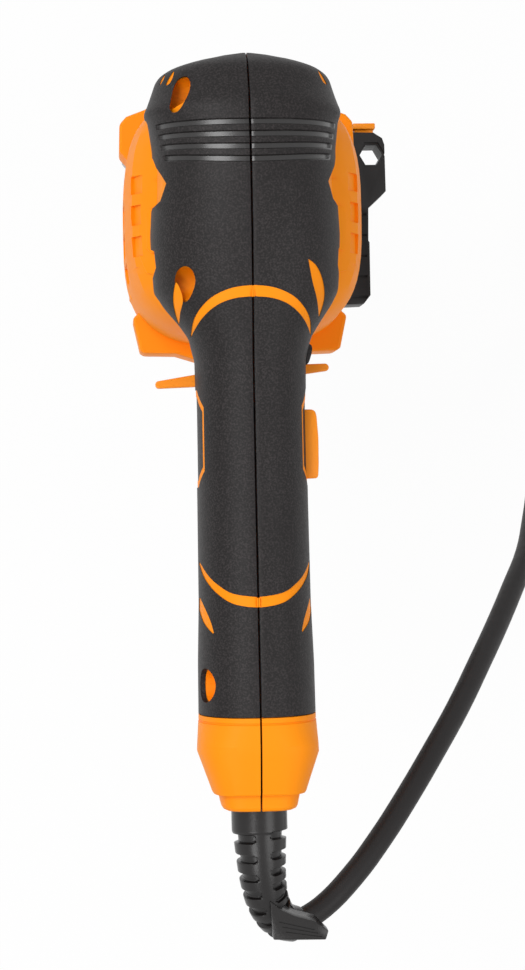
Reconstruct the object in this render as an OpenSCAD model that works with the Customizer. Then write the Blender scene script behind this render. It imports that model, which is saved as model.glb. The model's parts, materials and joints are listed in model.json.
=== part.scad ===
// Corded hammer drill with a keyed chuck and an auxiliary handle. +Z runs from the chuck to the rear cap and
// the main grip hangs along -Y. The origin is on the spindle's axis, in the middle of the collar's free stretch.

/* [Housing] */
// From the origin to the rear-most face
rear_z = 184; // [182:0.5:188]
// From the origin to the housing's front face
front_z = 74; // [72.5:0.5:75.5]
// Half the width of the motor housing
body_hw = 38.3; // [37.5:0.1:40]
// Half the width of the rear cap
cap_hw = 31; // [30.5:0.1:32]
// Height of the cap's top above the spindle's axis
head_top = 29.4; // [28.6:0.1:30.6]
// Half the width of the grip
grip_hw = 17.2; // [16.8:0.1:18.5]
// How far below the spindle's axis the grip's overmould ends
grip_end = 174; // [172:0.5:176]
// How far below the spindle's axis the grip's base ends
base_end = 203; // [201:0.5:205]
// Thickness of the rubber overmould
skin_t = 1.6; // [1.2:0.1:1.8]
// Radius of the motor chamber
chamber_r = 33; // [32:0.1:33.5]
// Gap between parts that don't touch
gap = 0.3; // [0.2:0.05:0.4]
// Radius of the housing screws
screw_r = 1.7; // [1.4:0.1:1.9]
// Radius of the recess over a housing screw
recess_r = 5; // [4.4:0.1:5.2]

/* [Collar and gear housing] */
// Radius of the clamping collar
collar_r = 21.5; // [21.5:0.1:22]
// Length of the collar's free stretch
collar_free = 18; // [16:0.5:19]
// Width of the auxiliary handle's bracket
bracket_w = 18; // [17:0.5:18.5]
// Radius of the gear case round the spindle
case_r = 24; // [23.5:0.1:25]

/* [Gears] */
// Gear module
module_mm = 0.9; // [0.88:0.01:0.92]
// Width of the spindle's gear
gear_w = 10; // [8:0.5:11]

/* [Motor] */
// Radius of the stator's stack
stator_r = 28; // [27:0.1:28.5]
// Radius of the armature
armature_r = 16.5; // [15.5:0.1:17]
// Length of the stack
stack_len = 40; // [36:1:42]
// Radius of the commutator
commutator_r = 11; // [10.5:0.1:11.5]
// Radius of the fan
fan_r = 27; // [25:0.5:31]

/* [Spindle and chuck] */
// Radius of the spindle in its bearings
spindle_r = 7.5; // [7:0.1:7.8]
// Radius of the spindle's thread
thread_r = 6.35; // [6.2:0.05:6.5]
// Radius of the chuck
chuck_r = 21.2; // [20.8:0.1:21.4]
// Radius of a jaw
jaw_r = 2.9; // [2.5:0.1:3]
// Angle between a jaw and the axis
jaw_angle = 17; // [16.5:0.1:17.5]
// Length of a jaw
jaw_len = 28; // [26:0.5:29]
// Travel of a jaw along itself
jaw_travel = 20; // [18:0.5:20.5]

/* [Controls] */
// Travel of the trigger
trigger_travel = 4.5; // [4:0.1:4.6]
// Half the width of the trigger
trigger_hw = 7.8; // [7:0.1:8.5]
// Half the length of the lock-on button
lock_half = 11; // [9:0.5:12]
// How far the lock-on button stands out from the axis
lock_reach = 21; // [20.5:0.1:22]
// Angle at which the direction lever rests
lever_tilt = 6.5; // [5:0.5:7]
// Distance from the lever's pivot to its bar
lever_arm = 29; // [27:0.5:30]
// Half the length of the lever's bar
lever_half = 27.6; // [26:0.2:29]

/* [Auxiliary handle] */
// How far below the collar's axis the side grip ends
side_grip_end = 140; // [130:1:144]
// Radius of the side grip
side_grip_r = 15; // [14:0.5:17]
// Lean of the side grip away from straight down
side_lean = 4.3; // [3:0.1:6]
// Across the flats of the depth rod's hole
rod_hole = 7; // [6.4:0.1:7.5]

/* [Cord] */
// Outside diameter of the mains cord
cord_d = 7.8; // [7.4:0.1:8]
// Radius of the strain relief at the housing
sleeve_r = 8.8; // [8.4:0.1:9.2]

/* [Hidden] */
$fn = 48;

ORANGE = [1, 0.5, 0.05];
BLACK = [0.1, 0.09, 0.09];
STEEL = [0.62, 0.63, 0.65];
CAST = [0.72, 0.73, 0.75];
COPPER = [0.72, 0.4, 0.2];
BRASS = [0.78, 0.62, 0.3];
DARK = [0.3, 0.3, 0.32];
BIG = 200;
pinion_teeth = 6;
gear_teeth = 36;
fit_gap = 0.05; // radial clearance of a running fit
hair = 0.02; // radial clearance of a part pressed or bonded in place

motor_y = -module_mm * (pinion_teeth + gear_teeth) / 2;
head_d = 60; // depth at which the rear cap's loft closes inside the motor housing
mid_s = head_d / 2;
grip_front = 52; // depth of the grip's front face behind the rear-most face
base_y = -base_end;
skin_y = -grip_end;

// One station of the spine: height, half the width, depth of the rear face, depth of the front face
SPINE = [
    [head_top, 3, 19, 27],
    [head_top - 0.4, 8, 17.5, 31],
    [head_top - 1.7, cap_hw - 16.7, 14.6, 37],
    [head_top - 3, cap_hw - 10.7, 12, 43],
    [head_top - 5, cap_hw - 6.1, 9.8, 50],
    [head_top - 7, cap_hw - 4, 8.2, 54],
    [head_top - 12.6, cap_hw - 2.1, 4.8, 59],
    [head_top - 16.4, cap_hw - 0.8, 3.7, head_d],
    [head_top - 17.6, cap_hw, 3.3, head_d],
    [head_top - 19.9, cap_hw - 1.3, 2.5, head_d],
    [0, cap_hw - 2.5, 0.6, head_d],
    [-12, cap_hw - 2.3, 0, head_d],
    [-26, cap_hw - 1.5, 0.8, head_d],
    [-38, cap_hw - 1.9, 2.6, head_d],
    [-43.5, cap_hw - 2.3, 3.6, head_d],
    [-48, cap_hw - 4.5, 4.6, head_d],
    [-53, grip_hw + 5.6, 5.8, 58],
    [-58, grip_hw + 1.9, 6.9, 54.5],
    [-64.5, grip_hw + 0.1, 7.8, grip_front],
    [-80, grip_hw - 0.1, 8.5, grip_front],
    [-110, grip_hw, 8.5, grip_front],
    [-140, grip_hw + 0.2, 7, grip_front],
    [-158, grip_hw + 0.8, 6, grip_front - 0.5],
    [skin_y, grip_hw + 0.95, 5.5, grip_front - 1],
    [base_y + 19, grip_hw + 1.4, 5.5, grip_front - 1.5],
    [base_y + 6, grip_hw - 2.4, 9, grip_front - 5],
    [base_y + 5.4, grip_hw - 4.8, 11, grip_front - 8],
    [base_y, grip_hw - 5.4, 12, grip_front - 9]
];
// One station of the motor housing: depth, half the width, top, bottom
BODY = [
    [30, 25.5, head_top - 10.4, -46],
    [34, cap_hw - 1, head_top - 9.4, -51],
    [42, body_hw - 2.6, head_top - 8.4, -54],
    [54, body_hw - 0.3, head_top - 7.4, -56],
    [84, body_hw, head_top - 7.2, -57],
    [rear_z - front_z, body_hw, head_top - 7.2, -57]
];
// Outline of the overmould's right half, from the seam's top to the grip's end
SKIN_EDGE = [[0, head_top + 1], [cap_hw + 1, head_top + 1], [cap_hw + 1, head_top - 18.2],
    [cap_hw - 1.5, head_top - 20.4], [cap_hw - 3, -2.6], [cap_hw - 6, -8.8], [cap_hw - 4, -15.7],
    [cap_hw - 2.1, -17.2], [cap_hw - 1.3, -28.2], [cap_hw - 2.4, -30], [cap_hw - 3, -36],
    [cap_hw - 2.1, -39.1], [cap_hw - 2.3, -43.5], [cap_hw - 4.6, -47.7], [grip_hw + 5.3, -53],
    [grip_hw + 2.8, -56], [grip_hw + 1.3, -59.4], [grip_hw + 0.5, -64.5], [grip_hw + 3, -66],
    [grip_hw + 3, skin_y + 1.4], [0, skin_y]];
// Half the outline of the front flange with its lugs
LUG_EDGE = [[0, head_top], [20, head_top - 1.6], [body_hw - 7.7, head_top - 7.4], [body_hw - 1, 18.6],
    [body_hw + 1, 16.4], [body_hw + 1, 8.2], [body_hw - 1.8, 4.5], [body_hw - 1.8, -40],
    [body_hw - 4.8, -45.6], [body_hw - 2.9, -48], [body_hw - 5, -58.7], [body_hw - 6.3, -59.9],
    [body_hw - 16.7, -60.2], [grip_hw - 2.2, -62], [0, -62]];
LUG_HOLES = [[body_hw - 4.6, 12.2], [body_hw - 9.4, -53.2]];

function power(v, n) = sign(v) * pow(abs(v), 2 / n);
function flip(points) = [for (p = points) [-p[0], p[1]]];

// Superellipse with n as its exponent: 2 is an ellipse
function oval(hw, hh, n, count) =
    [for (i = [0 : count - 1]) let (a = 360 * i / count) [hw * power(cos(a), n), hh * power(sin(a), n)]];
function spine_ring(st, inset) = let (hd = (st[3] - st[2]) / 2 - inset, mid = rear_z - (st[2] + st[3]) / 2)
    [for (p = oval(max(st[1] - inset, 0.6), hd, 2.25, 28)) [p[0], st[0], mid + p[1]]];
function body_ring(st) = [for (p = oval(st[1], (st[2] - st[3]) / 2, 3.2, 32))
    [p[0], (st[2] + st[3]) / 2 + p[1], rear_z - st[0]]];

// Closed solid through a list of rings with the same number of points
module loft(rings) {
    n = len(rings[0]);
    last = (len(rings) - 1) * n;
    polyhedron([for (r = rings) each r],
        concat([[for (i = [0 : n - 1]) i]],
            [for (j = [0 : len(rings) - 2]) for (i = [0 : n - 1]) let (k = (i + 1) % n)
                each [[j * n + i, (j + 1) * n + k, j * n + k], [j * n + i, (j + 1) * n + i, (j + 1) * n + k]]],
            [[for (i = [n - 1 : -1 : 0]) last + i]]), convexity = 8);
}

function unit(v) = v / max(norm(v), 0.000001);
// Ring of a tube round point i of a path
function tube_ring(path, i, r, sides) =
    let (a = path[max(i - 1, 0)], b = path[min(i + 1, len(path) - 1)], t = unit(b - a),
        u = unit(cross(t, abs(t[2]) > 0.9 ? [0, 1, 0] : [0, 0, 1])), v = cross(t, u))
    [for (k = [0 : sides - 1]) path[i] + r * (cos(360 * k / sides) * u + sin(360 * k / sides) * v)];
module tube(path, radii, sides = 8) {
    loft([for (i = [0 : len(path) - 1]) tube_ring(path, i, is_list(radii) ? radii[i] : radii, sides)]);
}
// Helical spring along Z from z0 to z1
module coil_spring(r, wire, turns, z0, z1) {
    steps = turns * 12;
    tube([for (i = [0 : steps]) [r * cos(30 * i), r * sin(30 * i), z0 + wire + (z1 - z0 - 2 * wire) * i / steps]],
        wire, 6);
}
// Smooth path through points, with a few steps between each two
function spline(p, steps) = concat([for (i = [0 : len(p) - 2]) for (k = [0 : steps - 1])
    let (t = k / steps, a = p[max(i - 1, 0)], b = p[i], c = p[i + 1], d = p[min(i + 2, len(p) - 1)])
    0.5 * (2 * b + (c - a) * t + (2 * a - 5 * b + 4 * c - d) * t * t + (3 * b - a - 3 * c + d) * t * t * t)],
    [p[len(p) - 1]]);

module ring(outer, inner, z0, z1) {
    rotate_extrude() translate([inner, z0]) square([outer - inner, z1 - z0]);
}
module at_motor() { translate([0, motor_y, 0]) children(); }
module along_x(y, z) { translate([0, y, z]) rotate([0, 90, 0]) children(); }
module along_y(x, z) { translate([x, 0, z]) rotate([90, 0, 0]) children(); }
module box(low, high) { translate(low) cube([for (i = [0 : 2]) high[i] - low[i]]); }
module half(side) {
    if (side < 0) box([-BIG, -2 * BIG, -BIG], [0, BIG, 2 * BIG]);
    else box([0, -2 * BIG, -BIG], [BIG, BIG, 2 * BIG]);
}

// ---- housing ----
// Height and depth of each housing screw, from the top down
SCREWS = [[head_top - 12.6, 12], [-42, 11], [-124, 42], [-164.5, 16]];
screw_head_x = 9; // the screw heads sit this far left of the seam
screw_head_len = 2.6;
screw_end_x = 10;
boss_r = 3.6;
boss_x = 12;
rear_chamber_r = 20;
brush_z = rear_z - 24;
brush_pocket = cap_hw - 5.7;
grip_bore_r = 12.4;
grip_bore_s = [26, 36.6];
rear_seat_z = rear_z - 8.6;
lever_z = rear_z - 40;
lever_t = 2.8;
bar_y = -68;
pivot_y = bar_y - lever_arm;
trigger_top = -71.6;
trigger_low = -100.4;
trigger_rear = rear_z - 48;
trigger_front = trigger_rear - 19;
foot_z = lever_z - lever_t / 2 - trigger_travel - 0.2; // rear of the trigger's foot, clear of the lever when pulled
stem_y = -106;
lock_y = -91;
lock_s = [26, 35];
lock_inner = 13.4;
lock_travel = 2.5;
inlay_y = [-104, -75];
inlay_s = [20, 44];
cord_s = 26; // depth of the cord's axis where it leaves the base
cord_z = rear_z - cord_s;
clamp_y = base_y + 23;
clamp_x = 8;
switch_hw = 9;
switch_y = [-116, -78];
switch_z = [rear_z - 38, rear_z - 20];

module grip_bore() {
    // Stadium-shaped bore down the grip, open into the motor chamber
    along_y(0, 0) translate([0, 0, 34]) linear_extrude(-base_y - 8 - 34) {
        for (s = grip_bore_s) translate([0, rear_z - s]) circle(grip_bore_r);
        translate([-grip_bore_r, rear_z - grip_bore_s[1]])
            square([2 * grip_bore_r, grip_bore_s[1] - grip_bore_s[0]]);
    }
}
module chamber() {
    stack = stack_z();
    at_motor() {
        difference() {
            translate([0, 0, front_z - 1]) cylinder(r = chamber_r, h = stack[1] - 4 - front_z + 1, $fn = 96);
            for (z = [stack[0] + 4, stack[1] - 7]) ring(chamber_r + 1, stator_r + gap, z, z + 3);
        }
        translate([0, 0, stack[0]]) cylinder(r = stator_r + gap, h = stack_len + winding_len + 0.4, $fn = 96);
        translate([0, 0, stack[1]]) cylinder(r = rear_chamber_r, h = rear_z - 16 - stack[1]);
        translate([0, 0, rear_z - 17]) cylinder(r = bearing_sleeve_r + hair, h = 17 - 8.6);
    }
    box([-brush_pocket, motor_y - 4.6, brush_z - 4], [brush_pocket, motor_y + 4.6, brush_z + 4]);
}
module lever_slot() {
    box([-BIG, bar_y - 5, lever_z - lever_t / 2 - gap], [BIG, bar_y + 5, lever_z + lever_t / 2 + gap]);
}
module sleeve_seat(extra) {
    // Neck of the strain relief, with the flange that the housing traps
    along_y(0, cord_z) rotate_extrude() polygon([[0, -base_y - 9], [sleeve_r + extra, -base_y - 9],
        [sleeve_r + extra, -base_y - 6 - extra], [sleeve_r + 1.4 + extra, -base_y - 6 - extra],
        [sleeve_r + 1.4 + extra, -base_y - 3 + extra], [sleeve_r + extra, -base_y - 3 + extra],
        [sleeve_r + extra, -base_y + 7], [0, -base_y + 7]]);
}
module core_solid() {
    loft([for (st = SPINE) spine_ring(st, st[0] < skin_y ? 0 : skin_t)]);
    loft([for (i = [len(BODY) - 1 : -1 : 0]) body_ring(BODY[i])]);
    translate([0, 0, front_z]) linear_extrude(22) polygon(concat(LUG_EDGE, [for (i = [len(LUG_EDGE) - 1 : -1 : 0])
        flip(LUG_EDGE)[i]]));
}
module housing(side) {
    difference() {
        intersection() {
            core_solid();
            half(side);
        }
        difference() {
            union() {
                grip_bore();
                chamber();
            }
            for (s = SCREWS) along_x(s[0], rear_z - s[1]) translate([0, 0, -boss_x]) cylinder(r = boss_r, h = 2 * boss_x);
            for (x = [-clamp_x, clamp_x]) translate([x, clamp_y, cord_z - 4]) cylinder(r = 2.6, h = 14);
            for (y = [switch_y[0] + 4, switch_y[1] - 4], d = [-1, 1])
                translate([d * (switch_hw + gap + 2.5) - 2.5, y - 1, switch_z[0] + 2]) cube([5, 2, 14]);
        }
        sleeve_seat(gap / 2);
        lever_slot();
        box([-trigger_hw - gap, trigger_low - gap, trigger_front], [trigger_hw + gap, trigger_top + gap, rear_z - 46]);
        box([-trigger_hw - gap, stem_y - 4 - gap, foot_z - 2.4 - gap], [trigger_hw + gap, trigger_low, rear_z - 44]);
        for (s = SCREWS) along_x(s[0], rear_z - s[1]) {
            translate([0, 0, -screw_head_x]) cylinder(r = screw_r + fit_gap, h = screw_head_x + screw_end_x + 0.5);
            translate([0, 0, -BIG]) cylinder(r = recess_r, h = BIG - screw_head_x - screw_head_len);
            translate([0, 0, -screw_head_x - screw_head_len - 1]) cylinder(r = 3.3, h = screw_head_len + 1);
        }
        for (x = [-clamp_x, clamp_x]) translate([x, clamp_y, cord_z - 5]) cylinder(r = 1.1, h = 9);
        if (side > 0) box([lock_inner - lock_travel - gap, lock_y - lock_half - gap, rear_z - lock_s[1] - gap],
            [BIG, lock_y + lock_half + gap, rear_z - lock_s[0] + gap]);
        for (x = [-1, 1], h = LUG_HOLES) translate([x * h[0], h[1], front_z - 1]) cylinder(r = 1.75, h = 17);
    }
}
module left_housing() { color(ORANGE) housing(-1); }
module right_housing() { color(ORANGE) housing(1); }

// Rubber overmould
ARCH = [[0, -43.4], [8, -45], [14, -49.5], [grip_hw + 0.4, -57.4], [12.8, -51.6], [7.4, -47.9], [0, -46.4]];
LOW_ARC = [[0, -140.4], [9, -138.8], [14.6, -133.4], [grip_hw - 0.6, -128], [12.6, -134], [7.6, -136.6], [0, -137.4]];
LEAF = [[16.3, -36.2], [20.6, -40.3], [23, -45.4], [22.4, -49.5], [20.8, -52.6], [19.6, -48], [17.8, -42.6]];
LOW_LEAF = [[grip_hw + 1, -138.4], [16.4, -144.6], [14.2, -149.2], [15.6, -142.6], [16.6, -138.6]];
WINDOWS = [ARCH, LOW_ARC, LEAF, LOW_LEAF];

module grip_skin(side) {
    edge = side < 0 ? flip(SKIN_EDGE) : SKIN_EDGE;
    difference() {
        intersection() {
            difference() {
                loft([for (st = SPINE) spine_ring(st, 0)]);
                loft([for (st = SPINE) spine_ring(st, skin_t)]);
            }
            union() {
                translate([0, 0, rear_z - mid_s + 0.5]) linear_extrude(mid_s) polygon(edge);
                box([-grip_hw - 3, skin_y, rear_z - 44], [grip_hw + 3, -64.5, rear_z - mid_s + 1]);
            }
            translate([side * 0.15, 0, 0]) half(side);
        }
        for (w = WINDOWS) translate([0, 0, rear_z - 24]) linear_extrude(30) polygon(side < 0 ? flip(w) : w);
        if (side < 0) for (s = SCREWS) if (s[1] < 30) along_x(s[0], rear_z - s[1]) translate([0, 0, -BIG])
            cylinder(r = recess_r + 0.3, h = BIG);
        lever_slot();
        translate([0, inlay_y[0], rear_z - inlay_s[1]]) mirror([side < 0 ? 1 : 0, 0, 0])
            cube([BIG, inlay_y[1] - inlay_y[0], inlay_s[1] - inlay_s[0]]);
    }
}
module left_grip_skin() { color(BLACK) grip_skin(-1); }
module right_grip_skin() { color(BLACK) grip_skin(1); }

module inlay(side) {
    edge = 0.8;
    intersection() {
        difference() {
            loft([for (st = SPINE) spine_ring(st, 0.4)]);
            loft([for (st = SPINE) spine_ring(st, skin_t)]);
        }
        translate([0, inlay_y[0] + edge, rear_z - inlay_s[1] + edge]) mirror([side < 0 ? 1 : 0, 0, 0])
            cube([BIG, inlay_y[1] - inlay_y[0] - 2 * edge, inlay_s[1] - inlay_s[0] - 2 * edge]);
    }
}
module left_inlay() { color(BLACK) inlay(-1); }
module right_inlay() {
    color(BLACK) difference() {
        inlay(1);
        box([0, lock_y - lock_half - gap, rear_z - lock_s[1] - gap],
            [BIG, lock_y + lock_half + gap, rear_z - lock_s[0] + gap]);
    }
}
module housing_screws() {
    color(STEEL) for (s = SCREWS) along_x(s[0], rear_z - s[1]) difference() {
        union() {
            translate([0, 0, -screw_head_x]) cylinder(r = screw_r, h = screw_head_x + screw_end_x);
            translate([0, 0, -screw_head_x - screw_head_len + 0.2]) cylinder(r = 3.2, h = screw_head_len - 0.2);
        }
        translate([0, 0, -screw_head_x - screw_head_len]) cylinder(r = 1.6, h = 1.6, $fn = 6);
    }
}

// ---- gear housing ----
collar_front = -collar_free / 2;
seat_r = collar_r - 1; // the auxiliary handle's seat on the collar
bracket_z = [collar_free / 2 + 1.5, collar_free / 2 + 1.5 + bracket_w];
case_z = bracket_z[1] + 1.5;
spindle_bearing_r = 16;
bearing_z = [-4, 5];
gear_z = 50;
ratchet_seat = [28, 33];
plate_z = front_z - 8;
module lug_plate(z, h) {
    translate([0, 0, z]) linear_extrude(h) polygon(concat(LUG_EDGE, [for (i = [len(LUG_EDGE) - 1 : -1 : 0])
        flip(LUG_EDGE)[i]]));
}
module gear_housing() {
    color(CAST) difference() {
        union() {
            lug_plate(front_z - 6, 6);
            translate([0, 0, collar_front]) cylinder(r = collar_r, h = collar_free, $fn = 96);
            translate([0, 0, collar_front + collar_free - 1]) cylinder(r = seat_r, h = case_z - collar_free / 2 + 2);
            translate([0, 0, case_z]) cylinder(r = case_r, h = front_z - case_z);
            at_motor() translate([0, 0, gear_z - 6]) cylinder(r = 18, h = front_z - gear_z + 6);
            box([-16, 15, 42], [16, selector_y, 60]);
        }
        translate([0, 0, collar_front - 1]) cylinder(r = spindle_r + 4, h = 20);
        translate([0, 0, bearing_z[0]]) cylinder(r = spindle_bearing_r, h = ratchet_seat[1] - bearing_z[0]);
        translate([0, 0, ratchet_seat[1] - 0.1]) cylinder(r = 14.6, h = 20);
        translate([0, 0, gear_z - 2]) cylinder(r = module_mm * (gear_teeth / 2 + 1) + 0.8, h = BIG);
        at_motor() translate([0, 0, gear_z - 3]) cylinder(r = 6.4, h = BIG);
        at_motor() translate([0, 0, plate_z]) cylinder(r = 13.4, h = BIG);
        box([-8.5, selector_y - 3.5, 48.6], [8.5, selector_y + 1, 53.4]);
        for (x = [-1, 1], h = LUG_HOLES) translate([x * h[0], h[1], front_z - 7]) cylinder(r = 2.2, h = 8);
    }
}
module gear_housing_screws() {
    color(STEEL) for (x = [-1, 1], h = LUG_HOLES) translate([x * h[0], h[1], 0]) difference() {
        union() {
            translate([0, 0, front_z - 6.2]) cylinder(r = 1.7, h = 20);
            translate([0, 0, front_z - 9]) cylinder(r = 3.6, h = 3);
        }
        translate([0, 0, front_z - 9.1]) cylinder(r = 1.7, h = 1.8, $fn = 6);
    }
}
motor_bearing = [11, 4, front_z - 1, front_z + 6]; // outer and inner radius, front and rear face
bush = [7, 5, plate_z, front_z - 2];
module bearing_plate() {
    color(CAST) difference() {
        union() {
            at_motor() translate([0, 0, front_z]) cylinder(r = chamber_r - gap, h = 6, $fn = 96);
            translate([0, 0, plate_z]) cylinder(r = 10, h = front_z - plate_z);
            at_motor() translate([0, 0, plate_z + 1]) cylinder(r = 13, h = front_z - plate_z - 1);
        }
        translate([0, 0, plate_z - 1]) cylinder(r = bush[0] + hair, h = bush[3] - plate_z + 1);
        at_motor() translate([0, 0, motor_bearing[2]]) cylinder(r = motor_bearing[0] + hair, h = 8);
        at_motor() translate([0, 0, plate_z - 1]) cylinder(r = 5.2, h = BIG);
        for (a = [0 : 60 : 300]) at_motor() rotate(a) translate([22, 0, front_z - 1]) cylinder(r = 3.6, h = 8);
    }
}
module front_motor_bearing() { color(STEEL) at_motor() ring(11, 4 + fit_gap, motor_bearing[2], motor_bearing[3]); }
module spindle_rear_bush() { color(BRASS) ring(bush[0], bush[1] + fit_gap, bush[2], bush[3]); }
module spindle_bearing() { color(STEEL) ring(spindle_bearing_r - hair, spindle_r + fit_gap, bearing_z[0], bearing_z[1]); }

// ---- motor ----
function stack_z() = [front_z + 50 - stack_len / 2, front_z + 50 + stack_len / 2];
rear_bearing_r = 9.5;
bearing_sleeve_r = 11.2;
rear_bearing_z = rear_z - 16;
commutator_z = [brush_z - 6, brush_z + 6];
winding_len = 5.6;
module stator_core() {
    s = stack_z();
    color(STEEL) at_motor() difference() {
        translate([0, 0, s[0]]) cylinder(r = stator_r, h = stack_len, $fn = 96);
        translate([0, 0, s[0] - 1]) cylinder(r = armature_r + 0.6, h = stack_len + 2, $fn = 96);
        for (x = [-1, 1]) translate([x * (stator_r + 1), 0, s[0] - 1]) cylinder(r = 3.5, h = stack_len + 2);
    }
}
module stator_windings() {
    s = stack_z();
    color(COPPER) at_motor() for (z = [s[0] - winding_len, s[1]]) rotate_extrude() {
        translate([armature_r + 2.5, z]) square([7, winding_len]);
        translate([armature_r + 1.5, z + 1]) square([9, winding_len - 2]);
    }
}
module armature_shaft() {
    root = module_mm * (pinion_teeth / 2 - 1.25);
    color(STEEL) at_motor() {
        translate([0, 0, gear_z - 1]) linear_extrude(gear_w + 2) gear_outline(pinion_teeth, 90);
        translate([0, 0, gear_z + gear_w + 1]) cylinder(r = 4, h = rear_z - 18 - gear_z - gear_w - 1);
        translate([0, 0, rear_z - 18]) cylinder(r = 3.5, h = 8);
        translate([0, 0, gear_z - 2]) cylinder(r = root, h = 2);
    }
}
// Straight-sided teeth, with one tooth pointing at the angle start
module gear_outline(teeth, start) {
    pitch_r = module_mm * teeth / 2;
    tip_r = pitch_r + 0.85 * module_mm;
    root_r = pitch_r - 1.15 * module_mm;
    half_root = 0.21 * PI * module_mm;
    half_tip = 0.11 * PI * module_mm;
    union() {
        circle(root_r + 0.05, $fn = 64);
        for (i = [0 : teeth - 1]) rotate(start + 360 * i / teeth)
            polygon([[root_r - 0.6, -half_root], [tip_r, -half_tip], [tip_r, half_tip], [root_r - 0.6, half_root]]);
    }
}
module armature_core() {
    s = stack_z();
    color(STEEL) at_motor() difference() {
        translate([0, 0, s[0]]) cylinder(r = armature_r, h = stack_len, $fn = 96);
        translate([0, 0, s[0] - 1]) cylinder(r = 4 + hair, h = stack_len + 2);
        for (i = [0 : 11]) rotate(30 * i) translate([armature_r, 0, s[0] - 1]) translate([-5, -0.8, 0])
            cube([6, 1.6, stack_len + 2]);
    }
}
module armature_windings() {
    s = stack_z();
    color(COPPER) at_motor() {
        ring(armature_r - 2.5, 4 + hair, s[0] - 5, s[0]);
        ring(armature_r - 2.5, 4 + hair, s[1], s[1] + 5);
        ring(armature_r - 6, 4 + hair, s[1] + 5, commutator_z[0]);
    }
}
module commutator() {
    color(COPPER) at_motor() difference() {
        ring(commutator_r, 4 + hair, commutator_z[0], commutator_z[1]);
        for (i = [0 : 23]) rotate(15 * i) translate([commutator_r - 0.8, -0.25, commutator_z[0] - 1])
            cube([2, 0.5, commutator_z[1] - commutator_z[0] + 2]);
    }
}
fan_z = [front_z + 10, front_z + 20];
module fan() {
    color(BLACK) at_motor() {
        ring(8, 4 + hair, fan_z[0], fan_z[1]);
        ring(fan_r, 7.5, fan_z[1] - 1.6, fan_z[1]);
        for (i = [0 : 11]) rotate(30 * i) box([7.5, -0.8, fan_z[0]], [fan_r - 0.4, 0.8, fan_z[1] - 1]);
    }
}
module rear_motor_bearing() {
    color(STEEL) at_motor() ring(rear_bearing_r - hair, 3.5 + fit_gap, rear_bearing_z, rear_bearing_z + 6);
}
module rear_bearing_sleeve() {
    color(BLACK) at_motor() difference() {
        ring(bearing_sleeve_r - hair, 0, rear_bearing_z, rear_seat_z - hair);
        translate([0, 0, rear_bearing_z - 1]) cylinder(r = rear_bearing_r, h = 7.4);
    }
}
module both_sides() { for (x = [0, 1]) mirror([x, 0, 0]) children(); }
module brush_holders() {
    color(BRASS) both_sides() difference() {
        box([12.4, motor_y - 4.2, brush_z - 3.4], [brush_pocket - 0.3, motor_y + 4.2, brush_z + 3.4]);
        box([12, motor_y - 3.3, brush_z - 2.5], [brush_pocket - 1, motor_y + 3.3, brush_z + 2.5]);
    }
}
module carbon_brushes() {
    color(DARK) both_sides() box([commutator_r + 0.15, motor_y - 3.2, brush_z - 2.4], [18.5, motor_y + 3.2, brush_z + 2.4]);
}
module brush_springs() {
    color(STEEL) both_sides() translate([0, motor_y, brush_z]) rotate([0, 90, 0])
        coil_spring(1.7, 0.3, 4, 18.6, brush_pocket - 1.1);
}

// ---- spindle and chuck ----
chuck_rear = -12;
chuck_nose = -80;
jaw_tip = -84;
sleeve_z = [-68, -48];
key_z = -72;
chuck_core_r = 17;
module spindle() {
    color(STEEL) difference() {
        rotate_extrude() polygon([[0, -34], [thread_r, -34], [thread_r, chuck_rear], [spindle_r, chuck_rear],
            [spindle_r, bearing_z[1]], [spindle_r + 1.5, bearing_z[1]], [spindle_r + 1.5, bearing_z[1] + 3],
            [spindle_r, bearing_z[1] + 3], [spindle_r, gear_z + gear_w], [spindle_r - 1, gear_z + gear_w],
            [spindle_r - 1, bush[2] - 0.4], [bush[1], bush[2] - 0.4], [bush[1], bush[3] - 0.4], [0, bush[3] - 0.4]]);
        translate([0, 0, -35]) cylinder(r = 2.45, h = 14);
    }
}
module spindle_gear() {
    color(STEEL) translate([0, 0, gear_z]) difference() {
        linear_extrude(gear_w) gear_outline(gear_teeth, -90 + 180 / gear_teeth);
        translate([0, 0, -1]) cylinder(r = spindle_r + hair, h = gear_w + 2);
    }
}
// Ratchet ring whose teeth stand on the face at z, towards up (1) or down (-1)
module ratchet(outer, inner, z0, z1, up) {
    color(STEEL) difference() {
        ring(outer, inner, z0, z1);
        for (i = [0 : 11]) rotate(30 * i) translate([inner - 1, 0, up > 0 ? z1 - 0.8 : z0 - 0.2]) cube([outer, 1.6, 1]);
    }
}
module fixed_ratchet() { ratchet(spindle_bearing_r - hair, spindle_r + 1.2, ratchet_seat[0], ratchet_seat[1], 1); }
module rotating_ratchet() { ratchet(13.6, spindle_r + hair, ratchet_seat[1] + 0.8, ratchet_seat[1] + 6, -1); }
module release_spring() { color(STEEL) coil_spring(11, 0.7, 4, bearing_z[1] + 0.3, ratchet_seat[0] - 0.3); }

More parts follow.
